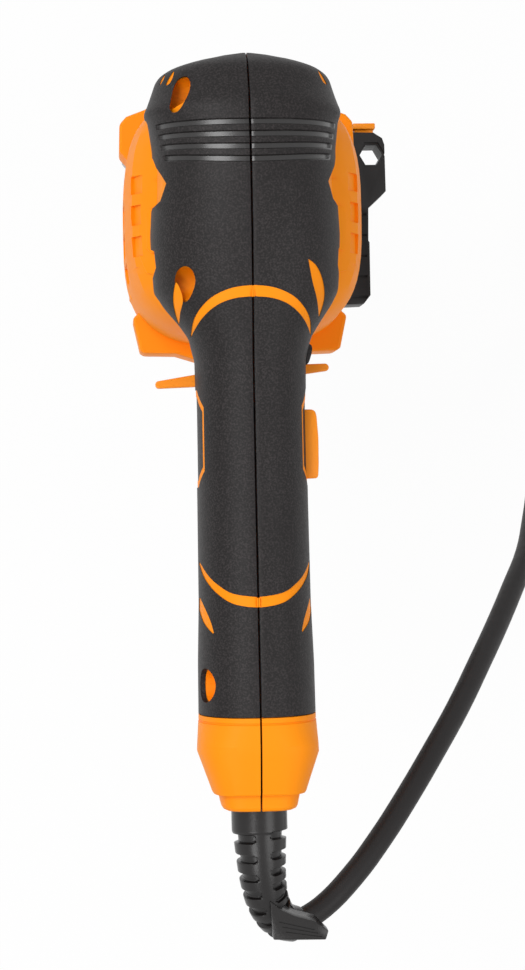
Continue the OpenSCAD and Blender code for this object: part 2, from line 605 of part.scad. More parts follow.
module jaw_axis(i, d = 0) {
    // Moves along the inclined path of jaw i, d millimetres back from its closed place
    rotate(120 * i) translate([jaw_r - 0.3, 0, jaw_tip]) rotate([0, jaw_angle, 0]) translate([0, 0, d]) children();
}
module chuck_jaw(i) {
    color(STEEL) intersection() {
        jaw_axis(i, -2) cylinder(r = jaw_r, h = jaw_len + 2);
        rotate(120 * i) translate([0, 0, jaw_tip]) linear_extrude(jaw_len)
            polygon([[0.35, 0], [0.35 + 20 * cos(59), -20 * sin(59)], [40, -18], [40, 18], [0.35 + 20 * cos(59), 20 * sin(59)]]);
    }
}
module chuck_jaw_1() { chuck_jaw(0); }
module chuck_jaw_2() { chuck_jaw(1); }
module chuck_jaw_3() { chuck_jaw(2); }
module chuck_body() {
    color(STEEL) difference() {
        rotate_extrude($fn = 96) polygon([[0, chuck_nose], [9, chuck_nose], [chuck_core_r, sleeve_z[0] - 0.5],
            [chuck_core_r, sleeve_z[1] + 0.5], [chuck_r, sleeve_z[1] + 0.5], [chuck_r, chuck_rear - 3],
            [chuck_r - 2, chuck_rear - 0.1], [0, chuck_rear - 0.1]]);
        translate([0, 0, -34.5]) cylinder(r = thread_r + hair, h = 30);
        translate([0, 0, -38]) cylinder(r = 2.6, h = 10);
        translate([0, 0, chuck_nose - 1]) cylinder(r = 6.6, h = 44);
        for (i = [0 : 2]) {
            jaw_axis(i, -6) cylinder(r = jaw_r + fit_gap, h = jaw_len + jaw_travel + 6.6);
            rotate(60 + 120 * i) translate([0, 0, key_z]) rotate([0, 90, 0]) cylinder(r = 2.6, h = 30);
        }
    }
}
module chuck_sleeve() {
    color(STEEL) difference() {
        ring(chuck_r, chuck_core_r + fit_gap, sleeve_z[0], sleeve_z[1]);
        for (i = [0 : 23]) rotate(15 * i) {
            translate([chuck_core_r - 1, -0.9, sleeve_z[0] - 0.1]) cube([6, 1.8, 2.6]);
            translate([chuck_r, 0, sleeve_z[0] + 4]) cylinder(r = 0.7, h = sleeve_z[1] - sleeve_z[0] - 6);
        }
    }
}
module chuck_screw() {
    color(STEEL) {
        translate([0, 0, -37]) cylinder(r = 2.4, h = 15);
        difference() {
            translate([0, 0, -40.2]) cylinder(r = 4.6, h = 3.2);
            translate([0, 0, -40.3]) cylinder(r = 2.2, h = 1.8, $fn = 6);
        }
    }
}

// ---- controls ----
selector_y = 27;
module mode_selector() {
    color(BLACK) {
        box([-11, selector_y + gap, 45], [3, selector_y + 3.4, 57]);
        for (x = [-9 : 2.5 : 1]) box([x, selector_y + 3.3, 46.5], [x + 1.2, selector_y + 4.4, 55.5]);
        box([-8.2, selector_y - 3.2, 49], [-0.2, selector_y + gap + 0.1, 53]);
    }
}
dial_y = -79;
dial_r = 5;
dial_z = trigger_front + 4;
spring_len = switch_z[0] - foot_z;
module trigger() {
    color(ORANGE) difference() {
        union() {
            intersection() {
                box([-trigger_hw, trigger_low, trigger_front], [trigger_hw, trigger_top, trigger_rear]);
                translate([0, (trigger_top + trigger_low) / 2, trigger_front + 26]) rotate([0, 90, 0])
                    cylinder(r = 27, h = 40, center = true);
            }
            box([-trigger_hw + 1, stem_y - 4, foot_z - 2.4], [trigger_hw - 1, trigger_low + 7, foot_z]);
            translate([0, stem_y, foot_z - 1]) cylinder(r = 1.5, h = spring_len + 5);
        }
        along_x(dial_y, dial_z) cylinder(r = dial_r + gap, h = 3.6, center = true);
    }
}
module speed_dial() {
    color(BLACK) along_x(dial_y, dial_z) difference() {
        cylinder(r = dial_r, h = 3, center = true);
        for (i = [0 : 11]) rotate(30 * i) translate([dial_r, 0, 0]) cylinder(r = 0.5, h = 4, center = true);
    }
}
module switch_body() {
    color(DARK) difference() {
        union() {
            box([-switch_hw, switch_y[0], switch_z[0]], [switch_hw, switch_y[1], switch_z[1]]);
            translate([0, pivot_y, lever_z - lever_t / 2]) cylinder(r = 2, h = switch_z[0] - lever_z + lever_t / 2 + 0.1);
        }
        translate([0, stem_y, switch_z[0] - 1]) cylinder(r = 1.5 + fit_gap, h = 14);
    }
}
module trigger_spring() {
    color(STEEL) translate([0, stem_y, 0]) coil_spring(2.6, 0.3, 5, foot_z + 0.02, switch_z[0] - 0.02);
}
module lock_button() {
    color(ORANGE) difference() {
        translate([0, lock_y, rear_z - (lock_s[0] + lock_s[1]) / 2]) rotate([0, 90, 0]) {
            w = (lock_s[1] - lock_s[0]) / 2;
            translate([0, 0, lock_inner]) linear_extrude(lock_reach - lock_inner) {
                for (y = [-lock_half + 2, lock_half - 2], z = [-w + 2, w - 2]) translate([z, y]) circle(2);
                square([2 * w - 4, 2 * lock_half], center = true);
                square([2 * w, 2 * lock_half - 4], center = true);
            }
        }
        for (y = [-lock_half + 1, lock_half - 1]) translate([lock_reach, lock_y + y, rear_z - 31])
            rotate([0, 0, y < 0 ? -45 : 45]) box([-1, 0.8, -10], [6, 6, 10]);
    }
}
module direction_lever() {
    bar = 1.7;
    color(ORANGE) translate([0, pivot_y, lever_z - lever_t / 2]) rotate(lever_tilt) difference() {
        linear_extrude(lever_t) {
            circle(4);
            translate([-3, 0]) square([6, lever_arm]);
            polygon([[-lever_half, lever_arm - bar + 0.6], [-8, lever_arm - bar - 0.6], [8, lever_arm - bar - 0.6],
                [lever_half, lever_arm - bar + 0.6], [lever_half, lever_arm + bar - 0.4], [8, lever_arm + bar + 0.6],
                [-8, lever_arm + bar + 0.6], [-lever_half, lever_arm + bar - 0.4]]);
            for (x = [-lever_half, lever_half]) translate([x, lever_arm + 0.1]) circle(bar - 0.5);
        }
        translate([0, 0, -1]) cylinder(r = 2 + fit_gap, h = lever_t + 2);
    }
}

// ---- auxiliary handle ----
BRACKET = [[14, -26], [36, -39.4], [48, -39], [50.4, -36], [50.4, -17], [50, -16.4], [50.2, -4.6],
    [56.6, 1.3], [56.4, 18], [55.6, 20.4], [52.5, 22.4], [44, 22.6], [14, 26]];
rod_at = [51.6, 14.5];
band_t = 1.2;
band_w = 12;
band_mid = (bracket_z[0] + bracket_z[1]) / 2;
button_x = [46.4, 53];
grip_top = -46;
module leaned() { rotate(side_lean) children(); }
module handle_bracket() {
    color(BLACK) difference() {
        translate([0, 0, bracket_z[0]]) linear_extrude(bracket_w) difference() {
            union() {
                circle(31, $fn = 96);
                polygon(BRACKET);
                rotate(side_lean) translate([-12, grip_top + gap]) square([24, 30]);
            }
            circle(seat_r + band_t + 0.6, $fn = 96);
            translate(rod_at) circle(rod_hole / 2 / cos(30), $fn = 6);
        }
        for (z = [bracket_z[0] - 0.1, bracket_z[1] - 1.4]) translate([rod_at[0], rod_at[1], z])
            cylinder(r = rod_hole / 2 / cos(30) + 1, h = 1.5, $fn = 6);
        for (i = [0 : 4]) box([44, -37 + 7.4 * i, bracket_z[1] - 0.8], [49.4, -36.2 + 7.4 * i, BIG]);
        leaned() box([-3.4, -43, band_mid - 7], [3.4, -20, band_mid + 7]);
        leaned() along_y(0, band_mid) translate([0, 0, 20]) cylinder(r = 3 + fit_gap, h = 40);
        box([button_x[0] - gap, 18.9, band_mid - 3 - gap], [button_x[1] + gap, 30, band_mid + 3 + gap]);
    }
}
module clamp_band() {
    color(STEEL) difference() {
        union() {
            ring(seat_r + fit_gap + band_t, seat_r + fit_gap, band_mid - band_w / 2, band_mid + band_w / 2);
            leaned() box([-3, -36, band_mid - band_w / 2], [3, -seat_r - 0.6, band_mid + band_w / 2]);
        }
        leaned() along_y(0, band_mid) translate([0, 0, 28]) cylinder(r = 3 + hair, h = 40);
        cylinder(r = seat_r + fit_gap, h = BIG, $fn = 96);
    }
}
module clamp_bolt() {
    color(STEEL) leaned() along_y(0, band_mid) translate([0, 0, 28.2]) cylinder(r = 3, h = 47);
}
module side_grip() {
    top = -grip_top;
    color(BLACK) leaned() along_y(0, band_mid) difference() {
        rotate_extrude() polygon([[0, top], [side_grip_r + 2.4, top], [side_grip_r + 2.4, top + 4],
            [side_grip_r - 1.6, top + 8], [side_grip_r - 0.6, top + 14], [side_grip_r, top + 30],
            [side_grip_r, top + 52], [side_grip_r - 1, side_grip_end - 12], [side_grip_r + 1, side_grip_end - 6],
            [side_grip_r - 2, side_grip_end], [0, side_grip_end]]);
        translate([0, 0, top - 1]) cylinder(r = 3 + fit_gap, h = 32);
        for (i = [0 : 5]) translate([0, 0, top + 16 + 9 * i]) rotate_extrude() translate([side_grip_r - 0.6, 0])
            square([3, 2.4]);
    }
}
module depth_stop_button() {
    color(ORANGE) {
        box([button_x[0], 20.9, band_mid - 3], [button_x[1], 24.4, band_mid + 3]);
        box([button_x[0] - 0.8, 24.3, band_mid - 4.6], [button_x[1] + 0.6, 26.4, band_mid + 4.6]);
    }
}

// ---- cord ----
cord_r = cord_d / 2;
floor_z = -85;
lie_z = floor_z + cord_r;
SLEEVE = [[0, base_y - 5, cord_z], [0.2, base_y - 13, cord_z], [0.8, base_y - 22, cord_z - 1],
    [2.4, base_y - 30, cord_z - 3], [6, base_y - 36, cord_z - 6.5], [11.5, base_y - 38.4, cord_z - 10]];
TONGUE = [[2.5, -28.5], [6, -30], [11, -33.4], [20.4, -34.8], [20, -39.4], [16.3, -41], [8, -40.8], [3.4, -40.6]];
// The cord's route from the strain relief to the coil
ROUTE = [[11.5, -241.4, 148], [20, -237, 144], [30, -228.4, 139], [40, -217.4, 132], [50, -205, 123],
    [60, -192, 112], [70, -179.2, 98], [80, -165, 82], [88, -153, 66], [95, -141, 49], [101, -130, 31],
    [106, -119, 12], [111, -107, -8], [116, -94, -28], [121, -80, -46], [127, -64, -62], [134, -46, -74],
    [140, -28, -80], [143, -14, -81]];
coil_mid = [187, -14];
coil_r = 44;
coil_w = 3 * cord_d;
TAIL = [[231, -14, -81], [231.6, -28, -81], [234, -44, -80.4], [236, -58, -78], [236.4, -70, -76]];
plug_x = 236.4;
plug_y = -70;
plug_z = floor_z + 11;
module cord_sleeve() {
    color(BLACK) difference() {
        union() {
            sleeve_seat(-gap / 2);
            path = spline(SLEEVE, 5);
            n = len(path) - 1;
            tube(path, [for (i = [0 : n]) sleeve_r - 0.1 - 3.2 * i / n - (i % 3 == 1 && i > 3 ? 1 : 0)], 20);
            translate([0, base_y, cord_z - 1]) linear_extrude(6) polygon(TONGUE);
        }
        along_y(0, cord_z) translate([0, 0, -base_y - 10]) cylinder(r = cord_r + hair, h = 5);
    }
}
module inner_lead() {
    color(BLACK) along_y(0, cord_z) translate([0, 0, -base_y - 32]) cylinder(r = cord_r, h = 26.9);
}
module cord_clamp() {
    color(CAST) difference() {
        box([-clamp_x - 3.4, clamp_y - 3.2, cord_z - cord_r - 2.8], [clamp_x + 3.4, clamp_y + 3.2, cord_z - cord_r - 0.2]);
        for (x = [-clamp_x, clamp_x]) translate([x, clamp_y, cord_z - cord_r - 4]) cylinder(r = 1.3, h = 6);
    }
}
module cord_clamp_screws() {
    color(STEEL) for (x = [-clamp_x, clamp_x]) translate([x, clamp_y, cord_z - cord_r - 2.8]) {
        cylinder(r = 1.05, h = 7);
        translate([0, 0, -1.6]) cylinder(r = 2.2, h = 1.6);
    }
}
module lead_wires() {
    color(COPPER) {
        for (x = [-2.2, 2.2]) along_y(x, cord_z) translate([0, 0, -switch_y[0] + 0.1])
            cylinder(r = 1.2, h = -base_y - 32.2 + switch_y[0]);
        both_sides() tube([[7, switch_y[1] + 0.5, switch_z[1] - 3], [8, -60, switch_z[1] - 5], [9, -36, brush_z - 1],
            [13, motor_y - 5.6, brush_z - 2], [15, motor_y - 5.6, brush_z - 2]], 1.2, 8);
    }
}
module mains_cord() { color(BLACK) tube(spline(ROUTE, 2), cord_r, 8); }
module cord_coil() {
    color(BLACK) translate([coil_mid[0], coil_mid[1], floor_z]) rotate_extrude($fn = 64) translate([coil_r, 0])
        polygon([[-coil_w / 2 + 3, 0], [coil_w / 2 - 3, 0], [coil_w / 2, 3], [coil_w / 2, coil_w - 3],
            [coil_w / 2 - 3, coil_w], [-coil_w / 2 + 3, coil_w], [-coil_w / 2, coil_w - 3], [-coil_w / 2, 3]]);
}
module cord_tail() { color(BLACK) tube(spline(TAIL, 3), cord_r, 8); }
module cord_tie() {
    color(BLACK) translate([coil_mid[0], coil_mid[1] + coil_r, floor_z]) difference() {
        box([-4, -coil_w / 2 - 1.4, 0], [4, coil_w / 2 + 1.4, coil_w + 1.4]);
        box([-5, -coil_w / 2 - 0.4, -1], [5, coil_w / 2 + 0.2, coil_w + 0.2]);
    }
}
module plug() {
    color(BLACK) along_y(plug_x, plug_z) {
        translate([0, 0, -plug_y]) cylinder(r = 6.4, h = 8);
        translate([0, 0, -plug_y + 8]) linear_extrude(34) {
            for (x = [-7.4, 7.4]) translate([x, 0]) circle(11);
            square([14.8, 22], center = true);
        }
    }
}
module plug_pins() {
    color(BRASS) for (x = [-9.5, 9.5]) along_y(plug_x + x, plug_z) translate([0, 0, -plug_y + 42]) cylinder(r = 2.4, h = 19);
}

left_housing();
right_housing();
left_grip_skin();
right_grip_skin();
left_inlay();
right_inlay();
housing_screws();
gear_housing();
gear_housing_screws();
bearing_plate();
stator_core();
stator_windings();
armature_shaft();
armature_core();
armature_windings();
commutator();
fan();
front_motor_bearing();
rear_motor_bearing();
rear_bearing_sleeve();
brush_holders();
carbon_brushes();
brush_springs();
spindle();
spindle_gear();
spindle_bearing();
spindle_rear_bush();
fixed_ratchet();
rotating_ratchet();
release_spring();
mode_selector();
chuck_body();
chuck_sleeve();
chuck_jaw_1();
chuck_jaw_2();
chuck_jaw_3();
chuck_screw();
trigger();
speed_dial();
switch_body();
trigger_spring();
lock_button();
direction_lever();
handle_bracket();
clamp_band();
side_grip();
clamp_bolt();
depth_stop_button();
cord_sleeve();
inner_lead();
cord_clamp();
cord_clamp_screws();
lead_wires();
mains_cord();
cord_coil();
cord_tail();
cord_tie();
plug();
plug_pins();
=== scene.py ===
"""Corded hammer drill with a rubber-covered housing, seen from behind its rear cap."""

import json
import math

import bmesh
import bpy
from mathutils import Matrix, Vector

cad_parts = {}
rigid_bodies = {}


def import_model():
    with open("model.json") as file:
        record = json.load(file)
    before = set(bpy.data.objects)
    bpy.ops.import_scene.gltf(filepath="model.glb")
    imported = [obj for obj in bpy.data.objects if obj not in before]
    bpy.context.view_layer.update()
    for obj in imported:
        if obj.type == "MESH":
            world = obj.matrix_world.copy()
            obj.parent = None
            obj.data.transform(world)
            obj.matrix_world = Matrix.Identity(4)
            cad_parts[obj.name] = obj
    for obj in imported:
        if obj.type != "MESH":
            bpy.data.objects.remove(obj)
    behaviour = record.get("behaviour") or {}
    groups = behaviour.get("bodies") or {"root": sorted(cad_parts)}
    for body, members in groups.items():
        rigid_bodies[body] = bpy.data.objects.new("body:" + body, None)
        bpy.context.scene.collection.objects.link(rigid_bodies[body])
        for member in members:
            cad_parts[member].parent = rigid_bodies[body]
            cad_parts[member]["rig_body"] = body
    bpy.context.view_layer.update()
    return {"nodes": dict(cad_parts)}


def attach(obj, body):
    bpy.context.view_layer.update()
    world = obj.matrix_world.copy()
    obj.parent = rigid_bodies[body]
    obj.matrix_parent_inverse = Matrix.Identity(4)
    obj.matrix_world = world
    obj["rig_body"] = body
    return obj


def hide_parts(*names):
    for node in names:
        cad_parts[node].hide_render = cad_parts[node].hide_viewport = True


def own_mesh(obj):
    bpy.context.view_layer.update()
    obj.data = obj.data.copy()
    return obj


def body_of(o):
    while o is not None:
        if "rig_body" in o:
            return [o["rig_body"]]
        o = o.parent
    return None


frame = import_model()
nodes = frame["nodes"]
MM = 0.001

# ---- studio ----
# The tool stands on its chuck on a pale sheet of paper, under one large soft lamp
# and two weaker ones. The camera looks down on the rear cap, turned a little to the side.
scene = bpy.context.scene
scene.view_settings.view_transform = "Standard"

VIEW_YAW = math.radians(3.2)
VIEW_ROLL = math.radians(-1.1)
EYE = Vector((-43.156, -103.454, 982.868)) * MM
FOCAL_LENGTH = 98.97
ahead = Vector((math.sin(VIEW_YAW), 0, -math.cos(VIEW_YAW)))
level = Vector((math.cos(VIEW_YAW), 0, math.sin(VIEW_YAW)))
upright = Vector((0, 1, 0))
across = level * math.cos(VIEW_ROLL) + upright * math.sin(VIEW_ROLL)
upward = upright * math.cos(VIEW_ROLL) - level * math.sin(VIEW_ROLL)
lens = bpy.data.cameras.new("camera")
lens.lens = FOCAL_LENGTH
lens.sensor_width = 36
camera = bpy.data.objects.new("camera", lens)
camera.matrix_world = (
    Matrix.Translation(EYE) @ Matrix((across, upward, -ahead)).transposed().to_4x4()
)
scene.collection.objects.link(camera)
scene.camera = camera


def lamp(name, place, aim, size, power):
    """A square soft lamp at place, turned to aim."""
    data = bpy.data.lights.new(name, "AREA")
    data.shape = "SQUARE"
    data.size = size
    data.energy = power
    light = bpy.data.objects.new(name, data)
    light.location = place
    light.rotation_euler = (Vector(aim) - Vector(place)).to_track_quat("-Z", "Y").to_euler()
    scene.collection.objects.link(light)


lamp("key_lamp", (-0.55, 0.35, 1.15), (0, -0.09, 0.12), 0.6, 7.2)
lamp("low_lamp", (-0.5, -0.6, 1.1), (0, -0.14, 0.14), 0.4, 3.0)
lamp("fill_lamp", (0.7, -0.4, 1.0), (0, -0.09, 0.1), 0.6, 3.0)


class Term:
    """A shader socket that can stand in a Python expression."""

    def __init__(self, finish, socket):
        self.finish = finish
        self.socket = socket

    def math(self, operation, *others):
        values = dict(enumerate((self, *others)))
        return self.finish.node("ShaderNodeMath", {"operation": operation}, values)

    def reflected(self, operation, other):
        return self.finish.node("ShaderNodeMath", {"operation": operation}, {0: other, 1: self})

    def __add__(self, other):
        return self.math("ADD", other)

    def __radd__(self, other):
        return self.reflected("ADD", other)

    def __sub__(self, other):
        return self.math("SUBTRACT", other)

    def __rsub__(self, other):
        return self.reflected("SUBTRACT", other)

    def __mul__(self, other):
        return self.math("MULTIPLY", other)

    def __rmul__(self, other):
        return self.reflected("MULTIPLY", other)

    def clamped(self, low, high):
        return self.math("MAXIMUM", low).math("MINIMUM", high)

    def over(self, low, high):
        """0 below low, 1 above high, and smooth between."""
        return self.finish.node(
            "ShaderNodeMapRange",
            {"interpolation_type": "SMOOTHSTEP"},
            {"Value": self, "From Min": low, "From Max": high},
        )


class Finish:
    """A material whose node tree is built from expressions."""

    def __init__(self, name, world=None):
        self.material = world or bpy.data.materials.new(name)
        self.material.use_nodes = True
        self.tree = self.material.node_tree
        self.shader = self.tree.nodes.get("Principled BSDF")

    def node(self, kind, settings=None, values=None, output=0):
        made = self.tree.nodes.new(kind)
        for key, value in (settings or {}).items():
            if key == "stops":
                ramp = made.color_ramp
                while len(ramp.elements) < len(value):
                    ramp.elements.new(0.5)
                for stop, (place, colour) in zip(ramp.elements, value):
                    stop.position = place
                    stop.color = colour
            else:
                setattr(made, key, value)
        for key, value in (values or {}).items():
            self.put(made.inputs[key], value)
        return Term(self, made.outputs[output])

    def put(self, socket, value):
        if isinstance(value, Term):
            self.tree.links.new(value.socket, socket)
        else:
            socket.default_value = value

    def object_place(self):
        return self.node("ShaderNodeTexCoord", output="Object")

    def noise(self, scale, detail=2.0, place=None):
        return self.node(
            "ShaderNodeTexNoise",
            None,
            {"Vector": place or self.object_place(), "Scale": scale, "Detail": detail},
        )

    def mixed(self, amount, first, second):
        """Colour between first and second."""
        return self.node(
            "ShaderNodeMix",
            {"data_type": "RGBA"},
            {0: amount, 6: first, 7: second},
            output=2,
        )

    def raised(self, height, depth, strength=1.0):
        """Normal of a surface on which height stands depth metres proud."""
        return self.node(
            "ShaderNodeBump", None, {"Height": height, "Distance": depth, "Strength": strength}
        )

    def attribute(self, name):
        return self.node("ShaderNodeAttribute", {"attribute_name": name}, output="Fac")

    def shade(self, **values):
        for key, value in values.items():
            self.put(self.shader.inputs[key.replace("_", " ")], value)
        return self.material


def seen_directly(finish):
    """1 for rays that reach the eye straight, by a mirror or through glass."""
    rays = {key: finish.node("ShaderNodeLightPath", output=key)
            for key in ("Is Camera Ray", "Is Glossy Ray", "Is Transmission Ray")}
    return (rays["Is Camera Ray"] + rays["Is Glossy Ray"] + rays["Is Transmission Ray"]).clamped(0, 1)


WHITE = (1, 1, 1, 1)
# How far the paper's own glow covers its shadows when it is seen directly
PAPER_GLOW = 0.955
paper = Finish("paper")
paper.shade(Base_Color=(0.8, 0.8, 0.8, 1), Roughness=0.9)
paper_glow = paper.node("ShaderNodeEmission", None, {"Color": WHITE, "Strength": 1.0})
paper_mix = paper.node(
    "ShaderNodeMixShader",
    None,
    {0: seen_directly(paper) * PAPER_GLOW, 1: Term(paper, paper.shader.outputs[0]), 2: paper_glow},
)
paper.put(paper.tree.nodes["Material Output"].inputs["Surface"], paper_mix)

sky = Finish("sky", scene.world or bpy.data.worlds.new("sky"))
scene.world = sky.material
background = sky.tree.nodes.get("Background") or sky.tree.nodes.new("ShaderNodeBackground")
background.inputs["Color"].default_value = WHITE
sky.put(background.inputs["Strength"], 0.5 + seen_directly(sky) * 0.5)

FLOOR_Z = -85
floor_shape = bmesh.new()
bmesh.ops.create_grid(floor_shape, x_segments=1, y_segments=1, size=4)
bmesh.ops.translate(floor_shape, verts=floor_shape.verts, vec=(0, 0, (FLOOR_Z - 0.3) * MM))
floor_mesh = bpy.data.meshes.new("paper_floor")
floor_shape.to_mesh(floor_mesh)
floor_mesh.materials.append(paper.material)
floor = bpy.data.objects.new("paper_floor", floor_mesh)
scene.collection.objects.link(floor)


# ---- mains cord ----
# Two-core rubber cord, 7.8 mm thick and about 2.5 m long. It leaves the strain relief, swings
# off to the right and down to the floor, and the rest is wound into a coil with its plug.
CORD_D = 7.8
ROUTE = [
    (11.5, -241.4, 148), (20, -237, 144), (30, -228.4, 139), (40, -217.4, 132),
    (50, -205, 123), (60, -192, 112), (70, -179.2, 98), (80, -165, 82), (88.6, -153, 66),
    (96.8, -141, 49), (104.4, -130, 31), (109.8, -119, 12), (114.8, -107, -8), (119.4, -94, -28),
    (123.6, -80, -46), (128.4, -64, -62), (134.2, -46, -74), (140, -28, -80),
]
TAIL = [(231.6, -28, -80.8), (234, -44, -80.4), (236, -58, -78), (236.4, -70, -76)]
COIL_X, COIL_Y, COIL_R = 187, -14, 44
COIL_TURNS = 7.5
COIL_STEPS = 24
# Places of the turns in the coil's section: how far out and how high, in cord widths
COIL_SLOTS = [(0, 0), (-1, 0), (-1, 1), (-1, 2), (0, 2), (1, 2), (1, 1), (0, 1), (0, 0)]


def smooth_step(t):
    t = min(max(t, 0.0), 1.0)
    return t * t * (3 - 2 * t)


def coil_point(turn):
    lap = min(int(turn), len(COIL_SLOTS) - 2)
    shift = smooth_step((turn - lap) * 2)
    here, there = COIL_SLOTS[lap], COIL_SLOTS[lap + 1]
    out = here[0] + (there[0] - here[0]) * shift
    high = here[1] + (there[1] - here[1]) * shift
    angle = math.pi - 2 * math.pi * turn
    reach = COIL_R + out * CORD_D
    return (
        COIL_X + reach * math.cos(angle),
        COIL_Y + reach * math.sin(angle),
        FLOOR_Z + CORD_D / 2 + high * CORD_D * 0.99,
    )


coil = [coil_point(i / COIL_STEPS) for i in range(int(COIL_TURNS * COIL_STEPS) + 1)]
cord_line = ROUTE + coil + TAIL
cord_curve = bpy.data.curves.new("mains_cord_run", "CURVE")
cord_curve.dimensions = "3D"
cord_curve.bevel_depth = CORD_D / 2 * MM
cord_curve.bevel_resolution = 5
cord_curve.resolution_u = 4
cord_curve.use_fill_caps = True
spline = cord_curve.splines.new("BEZIER")
spline.bezier_points.add(len(cord_line) - 1)
for point, place in zip(spline.bezier_points, cord_line):
    point.co = Vector(place) * MM
    point.handle_left_type = point.handle_right_type = "AUTO"
cord_run = bpy.data.objects.new("mains_cord_run", cord_curve)
scene.collection.objects.link(cord_run)

sheath = Finish("cord_sheath")
sheath_grain = sheath.noise(2600, 2)
sheath.shade(
    Base_Color=sheath.mixed(sheath.noise(60, 2), (0.006, 0.005, 0.005, 1), (0.0105, 0.0085, 0.0085, 1)),
    Roughness=0.44 + sheath.noise(300, 2) * 0.14,
    Specular_IOR_Level=0.3,
    Normal=sheath.raised(sheath_grain, 0.04 * MM, 0.6),
)
cord_curve.materials.append(sheath.material)
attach(cord_run, "tool")
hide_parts("mains_cord", "cord_coil", "cord_tail")


# ---- housing ----
# Two halves of orange nylon, screwed together along the middle, with a fine even grain.
# The motor sits in the wide part and the grip's front holds the trigger.
def piece_of(name, shape, finish, body, replaced=(), sharp=30):
    """Turns a bmesh in millimetres into a finished piece that rides on a body."""
    bmesh.ops.scale(shape, vec=(MM, MM, MM), verts=shape.verts)
    mesh = bpy.data.meshes.new(name)
    shape.to_mesh(mesh)
    shape.free()
    mesh.materials.append(finish.material)
    mesh.shade_smooth()
    mesh.set_sharp_from_angle(angle=math.radians(sharp))
    piece = bpy.data.objects.new(name, mesh)
    scene.collection.objects.link(piece)
    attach(piece, body)
    if replaced:
        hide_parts(*replaced)
    return piece


def prism(outline, low, high, axis="Z", edge=0.0):
    """Solid whose section is outline and which runs from low to high along an axis."""
    shape = bmesh.new()
    corners = [shape.verts.new((x, y, low)) for x, y in outline]
    face = shape.faces.new(corners)
    made = bmesh.ops.extrude_face_region(shape, geom=[face])
    tops = [v for v in made["geom"] if isinstance(v, bmesh.types.BMVert)]
    bmesh.ops.translate(shape, verts=tops, vec=(0, 0, high - low))
    bmesh.ops.recalc_face_normals(shape, faces=shape.faces)
    if edge:
        round_edges(shape, edge, 35)
    turn_shape(shape, axis)
    return shape


def turn_shape(shape, axis):
    """Lays a shape drawn in X, Y along another axis: its own Z becomes that axis."""
    if axis == "X":
        turn = Matrix(((0, 0, 1), (0, 1, 0), (-1, 0, 0)))
    elif axis == "Y":
        turn = Matrix(((1, 0, 0), (0, 0, -1), (0, 1, 0)))
    else:
        return
    bmesh.ops.transform(shape, matrix=turn.to_4x4(), verts=shape.verts)


def round_edges(shape, width, angle, segments=2):
    """Bevels the edges that turn by more than angle degrees."""
    keen = [e for e in shape.edges
            if len(e.link_faces) == 2 and e.calc_face_angle(0) > math.radians(angle)]
    bmesh.ops.bevel(
        shape, geom=keen, offset=width, offset_type="OFFSET", affect="EDGES",
        segments=segments, profile=0.5, material=-1, clamp_overlap=True,
    )


def drum(radius, low, high, place=(0, 0, 0), axis="Z", sides=48):
    """Closed cylinder along an axis through place."""
    shape = bmesh.new()
    bmesh.ops.create_cone(
        shape, cap_ends=True, segments=sides, radius1=radius, radius2=radius, depth=high - low
    )
    bmesh.ops.translate(shape, verts=shape.verts, vec=(0, 0, (low + high) / 2))
    turn_shape(shape, axis)
    bmesh.ops.translate(shape, verts=shape.verts, vec=place)
    return shape


def block(low, high):
    """Box between two corners."""
    shape = bmesh.new()
    bmesh.ops.create_cube(shape, size=1)
    span = [b - a for a, b in zip(low, high)]
    bmesh.ops.scale(shape, vec=span, verts=shape.verts)
    bmesh.ops.translate(shape, verts=shape.verts, vec=[(a + b) / 2 for a, b in zip(low, high)])
    return shape


def joined(*shapes):
    """One bmesh that holds all the shapes, left as separate shells."""
    whole = bmesh.new()
    for shape in shapes:
        part = bpy.data.meshes.new("part")
        shape.to_mesh(part)
        shape.free()
        whole.from_mesh(part)
        bpy.data.meshes.remove(part)
    return whole


def carved(shape, tool, operation="DIFFERENCE"):
    """The shape after a boolean with the tool, whose shells may overlap."""
    held = []
    for bm in (shape, tool):
        mesh = bpy.data.meshes.new("carving")
        bm.to_mesh(mesh)
        bm.free()
        held.append(bpy.data.objects.new("carving", mesh))
        scene.collection.objects.link(held[-1])
    cut = held[0].modifiers.new("cut", "BOOLEAN")
    cut.operation = operation
    cut.object = held[1]
    cut.solver = "EXACT"
    cut.use_self = True
    bpy.context.view_layer.update()
    done = held[0].evaluated_get(bpy.context.evaluated_depsgraph_get()).to_mesh()
    result = bmesh.new()
    result.from_mesh(done)
    for thing in held:
        mesh = thing.data
        bpy.data.objects.remove(thing)
        bpy.data.meshes.remove(mesh)
    return result


def between(table, at):
    """Row of numbers at a height, from a table whose first column falls."""
    if at >= table[0][0]:
        return list(table[0][1:])
    for upper, lower in zip(table, table[1:]):
        if at >= lower[0]:
            share = (upper[0] - at) / (upper[0] - lower[0])
            return [a + (b - a) * share for a, b in zip(upper[1:], lower[1:])]
    return list(table[-1][1:])


def grid_shape(columns, rows, place):
    """Grid whose point in column i and row j lies at place(i, j)."""
    shape = bmesh.new()
    bmesh.ops.create_grid(shape, x_segments=columns, y_segments=rows, size=1)
    for vert in shape.verts:
        i = round((vert.co.x + 1) / 2 * columns)
        j = round((vert.co.y + 1) / 2 * rows)
        vert.co = place(i, j)
    return shape


